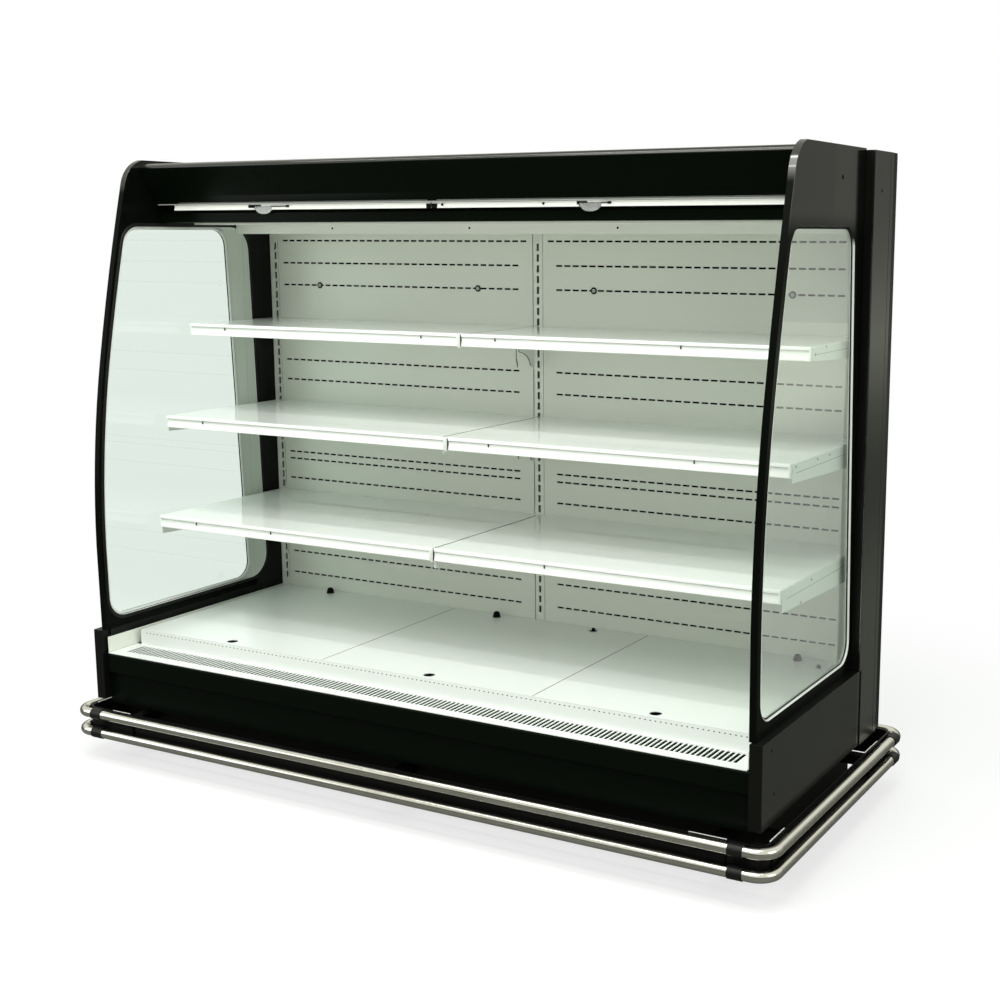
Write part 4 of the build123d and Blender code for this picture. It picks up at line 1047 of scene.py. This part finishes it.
housing_low, housing_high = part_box("blind_bar_left")
mesh = bmesh.new()
profile_bar(mesh, section(housing_low.y, housing_high.z, (
    (0.0004, 0.0014), (0.003, 0.001), (0.003, 0.0034), (0.0004, 0.0034))), -0.959, 0.959)
fitted("blind_housing_lip", squared(mesh), bar_metal, "aluminium")
roll_y = post_face + 0.3165
roll_z = 1.566
pull_wide = 0.0303
for side, pull, slot_long, recess_long, bar_holes in (
        ("left", -0.579, 0.08, 0.05, ()), ("right", 0.421, 0.048, 0.035, (0.001, 0.294))):
    low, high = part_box("blind_bar_" + side)
    y0, y1, z0, z1 = low.y, high.y, low.z, high.z
    bar_outline = [
        (y0, z0 + 0.0012), (y0 + 0.001, z0), (y1, z0), (y1, z0 + 0.0015),
        (y0 + 0.0022, z0 + 0.0015), (y0 + 0.0036, z1 - 0.0015), (y1, z1 - 0.0015), (y1, z1)]
    bar_outline += section(y0, z1, (
        (0.0008, 0), (0, -0.001), (0, -0.0024), (0.003, -0.003), (0.003, -0.0054),
        (0.001, -0.006)))
    bar_outline += [(y0 + 0.0014, z0 + 0.0032), (y0, z0 + 0.0026)]
    mesh = bmesh.new()
    profile_bar(mesh, bar_outline, low.x, pull - pull_wide)
    profile_bar(mesh, bar_outline, pull + pull_wide, high.x)
    profile_bar(mesh, ((y0 + 0.005, z0 + 0.01), (y1, z0 + 0.01), (y1, z1), (y0 + 0.0006, z1),
                       (y0 + 0.0006, z0 + 0.0104)), pull - pull_wide, pull + pull_wide)
    bar = fitted("pull_bar_" + side, squared(mesh), bar_metal, "aluminium", "blind_bar_" + side,
                 body=side + "_blind")
    mesh = bmesh.new()
    slot_end = pull + slot_long
    for x0, x1, top, low_z, out in (
            (pull - recess_long, pull - 0.03, z1 - 0.0012, z0 + 0.005, 0.0003),
            (pull - 0.03, pull - 0.007, z1 - 0.0012, z0 + 0.009, 0.0003),
            (pull + pull_wide, slot_end, z1 - 0.0048, z1 - 0.0068, 0.0009),
            (slot_end, slot_end + 0.009, z1 - 0.0026, z1 - 0.008, 0.0012),
            (*((high.x - 0.012, high.x) if side == "left" else (low.x, low.x + 0.016)),
             z1 - 0.003, z0 - 0.0004, 0.0006)):
        box_bar(mesh, (x0, x1), (y0 - out, y0 + 0.002), (top, low_z))
    for x in bar_holes:
        turned(mesh, ((0.0034, 0), (0.0034, 0.0008), (0.002, 0.001)), facing_front,
               Vector((x, y0 + 0.0004, z1 - 0.0058)), 12)
    fitted("bar_slots_" + side, squared(mesh), black_and_painted_shade, "black_plastic", body=side + "_blind")

    mesh = bmesh.new()
    handle_low, handle_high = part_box("blind_handle_" + side)
    middle_y = (handle_low.y + handle_high.y) / 2
    steps = 28
    rim = []
    for place in range(steps + 1):
        angle = math.pi * place / steps
        rim.append((pull - 0.03 * math.cos(angle), handle_high.z - 0.0215 * math.sin(angle)))
    for inner, outer, half in ((0.8, 1.0, 0.002), (0.0, 0.82, 0.0008)):
        rings = []
        for share in (inner, outer):
            for depth in (-half, half):
                rings.append([mesh.verts.new((pull + (x - pull) * share, middle_y + depth,
                                              handle_high.z + (z - handle_high.z) * share))
                              for x, z in rim])
        near0, far0, near1, far1 = rings
        walls = ((near0, near1, 0), (far0, far1, 1), (near1, far1, 0), (near0, far0, 1))
        for place in range(steps):
            for here, there, turn in walls if inner else walls[:3]:
                now, then = place + turn, place + 1 - turn
                mesh.faces.new((here[now], there[now], there[then], here[then]))
        for place in (0, steps):
            mesh.faces.new((near0[place], far0[place], far1[place], near1[place]))
    bmesh.ops.dissolve_degenerate(mesh, dist=1e-6, edges=mesh.edges)
    fitted("pull_" + side, squared(mesh), clear_plastic, "clear_plastic", "blind_handle_" + side,
           body=side + "_blind", smooth=40.0)

    cloth_low, cloth_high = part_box("blind_cloth_" + side)
    hang = (Vector((0, y0 + 0.004, z1 - 0.001)), Vector((0, roll_y - 0.018, roll_z)))
    mesh = bmesh.new()
    rows, columns = 48, 24
    grid = []
    for row in range(rows + 1):
        spot = hang[1].lerp(hang[0], row / rows)
        grid.append([mesh.verts.new((cloth_low.x + (cloth_high.x - cloth_low.x) * col / columns,
                                     spot.y, spot.z)) for col in range(columns + 1)])
    for row in range(rows):
        for col in range(columns):
            mesh.faces.new((grid[row][col], grid[row + 1][col], grid[row + 1][col + 1],
                            grid[row][col + 1]))
    cloth = from_bmesh("night_cloth_" + side, mesh, cloth_white)
    thickness = cloth.modifiers.new("thickness", "SOLIDIFY")
    thickness.thickness = 0.0006
    thickness.offset = 0.0
    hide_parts("blind_cloth_" + side)
    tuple(hang[1])
    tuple(hang[0])
    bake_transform(cloth)

# ---------------- shelves and price rails
# Six folded white shelves hang in three rows, with tapered side plates and two centre
# gussets. Along each front runs an extruded price rail with a top bead, a hollow face
# and end caps.

shelf_white = powder_coat("shelf_white", (0.82, 0.85, 0.82), 0.07, 0.5, 0.015, 0.02)
bracket_white = powder_coat("bracket_white", (0.72, 0.75, 0.71), 0.32, 0.5, 0.08, 0.03)
rail_white = grained("rail_white", (0.86, 0.88, 0.86), 0.22, (9.0, 3.0), (0.16, 0.14),
                     ((0.83, 0.855, 0.83), (0.88, 0.9, 0.88)))
for row in ("top", "middle", "bottom"):
    for side in ("left", "right"):
        soften(f"shelf_{row}_{side}", 0.0005, shelf_white, "white_steel")
    soften("shelf_brackets_" + row, 0.0005, bracket_white, "white_steel")

shelf_fronts = ((0.371, 1.19), (0.2595, 0.935), (0.215, 0.6535))
rail_mesh, cap_mesh, joint_mesh, slit_mesh = (bmesh.new() for _ in range(4))
rail_end = 0.9444
cap_thick = 0.004
joint_cap = 0.003
joint_gap = 0.0062
rail_head = (
    (0.008, 0), (0.0012, 0), (0.0003, -0.0008), (0, -0.002), (0, -0.0074), (0.0005, -0.008),
    (0.005, -0.0081), (0.005, -0.0099), (0.0004, -0.0101))
rail_face = [(0.0004 + 0.0024 * math.sin(math.pi * (place / 9) ** 0.55),
              -0.0101 - 0.0195 * place / 9) for place in range(1, 9)]
rail_foot = (
    (0, -0.0305), (0.0004, -0.0324), (0.0016, -0.033), (0.008, -0.033), (0.008, -0.031),
    (0.0052, -0.0305), (0.0052, -0.0025), (0.008, -0.002))
rail_cap = ((0.008, 0), (0.0006, 0), (-0.0004, -0.001), (-0.0004, -0.031), (0.001, -0.0335),
            (0.008, -0.0335))
tongue = [(0.001 - 0.0046 * math.cos(math.pi * (place / 8 - 0.5)) ** 0.6,
           -0.0178 - 0.0192 * math.sin(math.pi * (place / 8 - 0.5))) for place in range(9)]
for (front, top), joint in zip(shelf_fronts, (-0.014, 0.016, -0.003)):
    y = post_face + front
    outline = section(y, top, (*rail_head, *rail_face, *rail_foot))
    left_end = joint - joint_gap
    profile_bar(rail_mesh, outline, -rail_end + cap_thick, left_end - joint_cap)
    profile_bar(rail_mesh, outline, joint + joint_gap, rail_end - cap_thick)
    for cap_ends in ((-rail_end, -rail_end + cap_thick), (left_end - joint_cap, left_end),
                     (rail_end - cap_thick, rail_end)):
        profile_bar(cap_mesh, section(y, top, rail_cap), *cap_ends)
    profile_bar(joint_mesh, section(y, top, ((0.006, 0.001), *tongue, (0.006, -0.036))),
                joint - 0.0056, joint + 0.0034)
    box_bar(slit_mesh, (joint + 0.0038, joint + 0.0058), (y - 0.0002, y + 0.006),
            (top - 0.003, top - 0.032))
for mesh, slope in ((cap_mesh, 0.0006), (joint_mesh, 0.0022)):
    bmesh.ops.recalc_face_normals(mesh, faces=mesh.faces)
    rim = [edge for edge in mesh.edges if len(edge.link_faces) == 2
           and (mesh is cap_mesh or edge.calc_face_angle(0.0) > 1.0)]
    bmesh.ops.bevel(mesh, geom=rim, offset=slope, segments=2, affect="EDGES", clamp_overlap=True)
for name, mesh, finish, slot, smooth, *nodes in (
        ("price_rail_joints", joint_mesh, bracket_white, "white_rail", 40.0),
        ("price_rail_slits", squared(slit_mesh), black_and_painted_shade, "black_plastic", 30.0),
        ("price_rails", squared(rail_mesh), rail_white, "white_rail", 30.0, "ticket_rails"),
        ("price_rail_caps", cap_mesh, rail_white, "white_rail", 40.0)):
    fitted(name, mesh, finish, slot, *nodes, smooth=smooth)
mark_spots = ((-0.814, -0.135, 0.095, 0.62), (-0.808, 0.143, 0.71), (-0.807, -0.537, 0.33))
trim("price_rail_marks", black_and_painted_shade, "black_plastic",
     *(((x - 0.0013, x + 0.0013), (post_face + front + 0.0002, post_face + front + 0.004),
        (top - 0.0088, top - 0.0165))
       for (front, top), places in zip(shelf_fronts, mark_spots) for x in places))
# A dark grey for painted shade: shadow lines in creases and seams and along the gussets' edges.
crease_shade_grey = powder_coat("crease_shade_grey", (0.16, 0.17, 0.15), 0.6, 0.3, 0.05)
# Thin dark strips along the side plates are painted shade in their creases.
trim("bracket_crease_shade", crease_shade_grey, "white_steel",
     *((ends, (post_face + front, post_face + 0.735), (level, level + 0.0011))
       for front, level in ((0.393, 1.1705), (0.29, 0.911), (0.25, 0.627))
       for ends in ((-0.94745, -0.947), (0.947, 0.94745))))

# Each gusset gets painted shade: a dark strip along its lower edge, a darker hook, and a shade
# line down the upright's crease below it.
gusset_mesh, gusset_shade_mesh = bmesh.new(), bmesh.new()
gusset = ((0.7265, -0.032), (0.647, -0.032), (0.647, -0.065), (0.67, -0.07),
          (0.69, -0.08), (0.701, -0.091), (0.709, -0.108), (0.7265, -0.118))
hook = ((0.633, -0.032), (0.6352, -0.032), (0.6352, -0.08), (0.642, -0.1),
        (0.64, -0.109), (0.633, -0.085))
for (_, top), drop in zip(shelf_fronts, (0.0, -0.011)):
    outline = section(post_face, top, [(y, z + drop * (z < -0.04)) for y, z in gusset])
    profile_bar(gusset_mesh, outline, -0.0042, -0.0026)
    for (y0, z0), (y1, z1) in zip(outline[1:6], outline[2:7]):
        profile_bar(gusset_shade_mesh, ((y0, z0), (y1, z1), (y1 - 0.0008, z1 - 0.0012),
                                (y0 - 0.0008, z0 - 0.0012)), -0.0046, -0.0022)
    profile_bar(gusset_shade_mesh, section(post_face, top, hook), -0.0046, -0.003)
    box_bar(gusset_shade_mesh, (-0.0158, -0.0146), (wall_face_y - 0.0006, wall_face_y),
            (top - 0.12, top - 0.25))
fitted("centre_gussets", squared(gusset_mesh), bracket_white, "white_steel")
bmesh.ops.recalc_face_normals(gusset_shade_mesh, faces=gusset_shade_mesh.faces)
fitted("gusset_shade_lines", gusset_shade_mesh, crease_shade_grey, "white_steel")
# A dark line in the seam between the shelf halves is painted shade for the gap.
trim("shelf_seams", crease_shade_grey, "white_steel",
     *(((-0.0005, 0.0005), (post_face + front + 0.01, post_face + 0.722),
        (top - 0.0008, top + 0.0002)) for front, top in shelf_fronts))
side_spots = ((0.393, 1.171), (0.465, 1.185), (0.287, 0.926), (0.426, 0.925), (0.509, 0.925),
              (0.406, 0.64), (0.337, 0.6))
for hand, name in ((1, "right"), (-1, "left")):
    studs("bracket_screws_" + name, [(hand * 0.9473, post_face + y, z) for y, z in side_spots],
          flat_mark, Matrix.Rotation(math.radians(90 * hand), 3, "Y"), black_and_painted_shade,
          "black_plastic")

# ---------------- bumper
# Two polished steel tubes run round the foot of the case, joined by black sleeves.
# Black steel plates carry them on a black strip; pale strips on the plates' top edges are painted
# highlights.

steel, steel_tree, steel_shader = blank_material("polished_steel", (0.7, 0.68, 0.64), 0.14,
                                                 metallic=1.0)
steel_lines = noise(steel_tree, 26.0, 5.0, 0.65)
steel_fine = noise(steel_tree, 260.0, 3.0)
drive(steel_tree, steel_shader, "Roughness", steel_lines * 0.16 + steel_fine * 0.06 + 0.03)
drive(steel_tree, steel_shader, "Base Color",
      mixed(steel_lines, (0.58, 0.56, 0.52), (0.78, 0.77, 0.74)))
dress(steel, "bumper_tubes")
dress(frame_black, "bumper_brackets")
# Pale strips on the top edges of the plates are painted highlights.
highlight_spans = [((0.837, 0.928), (-0.0205, -0.0185)), ((-0.92, -0.856), (-0.0205, -0.0185))]
highlight_spans += [(x, y) for x in ((1.0145, 1.0165), (-1.0165, -1.0145))
              for y in ((0.015, 0.099), (0.653, 0.748))]
trim("bracket_edge_highlights", bar_metal, "bright_tube",
     *((x, (post_face + y0, post_face + y1), (0.144, 0.1456)) for x, (y0, y1) in highlight_spans))
soften("bumper_sleeves", 0.001, rubber, "black_rubber")
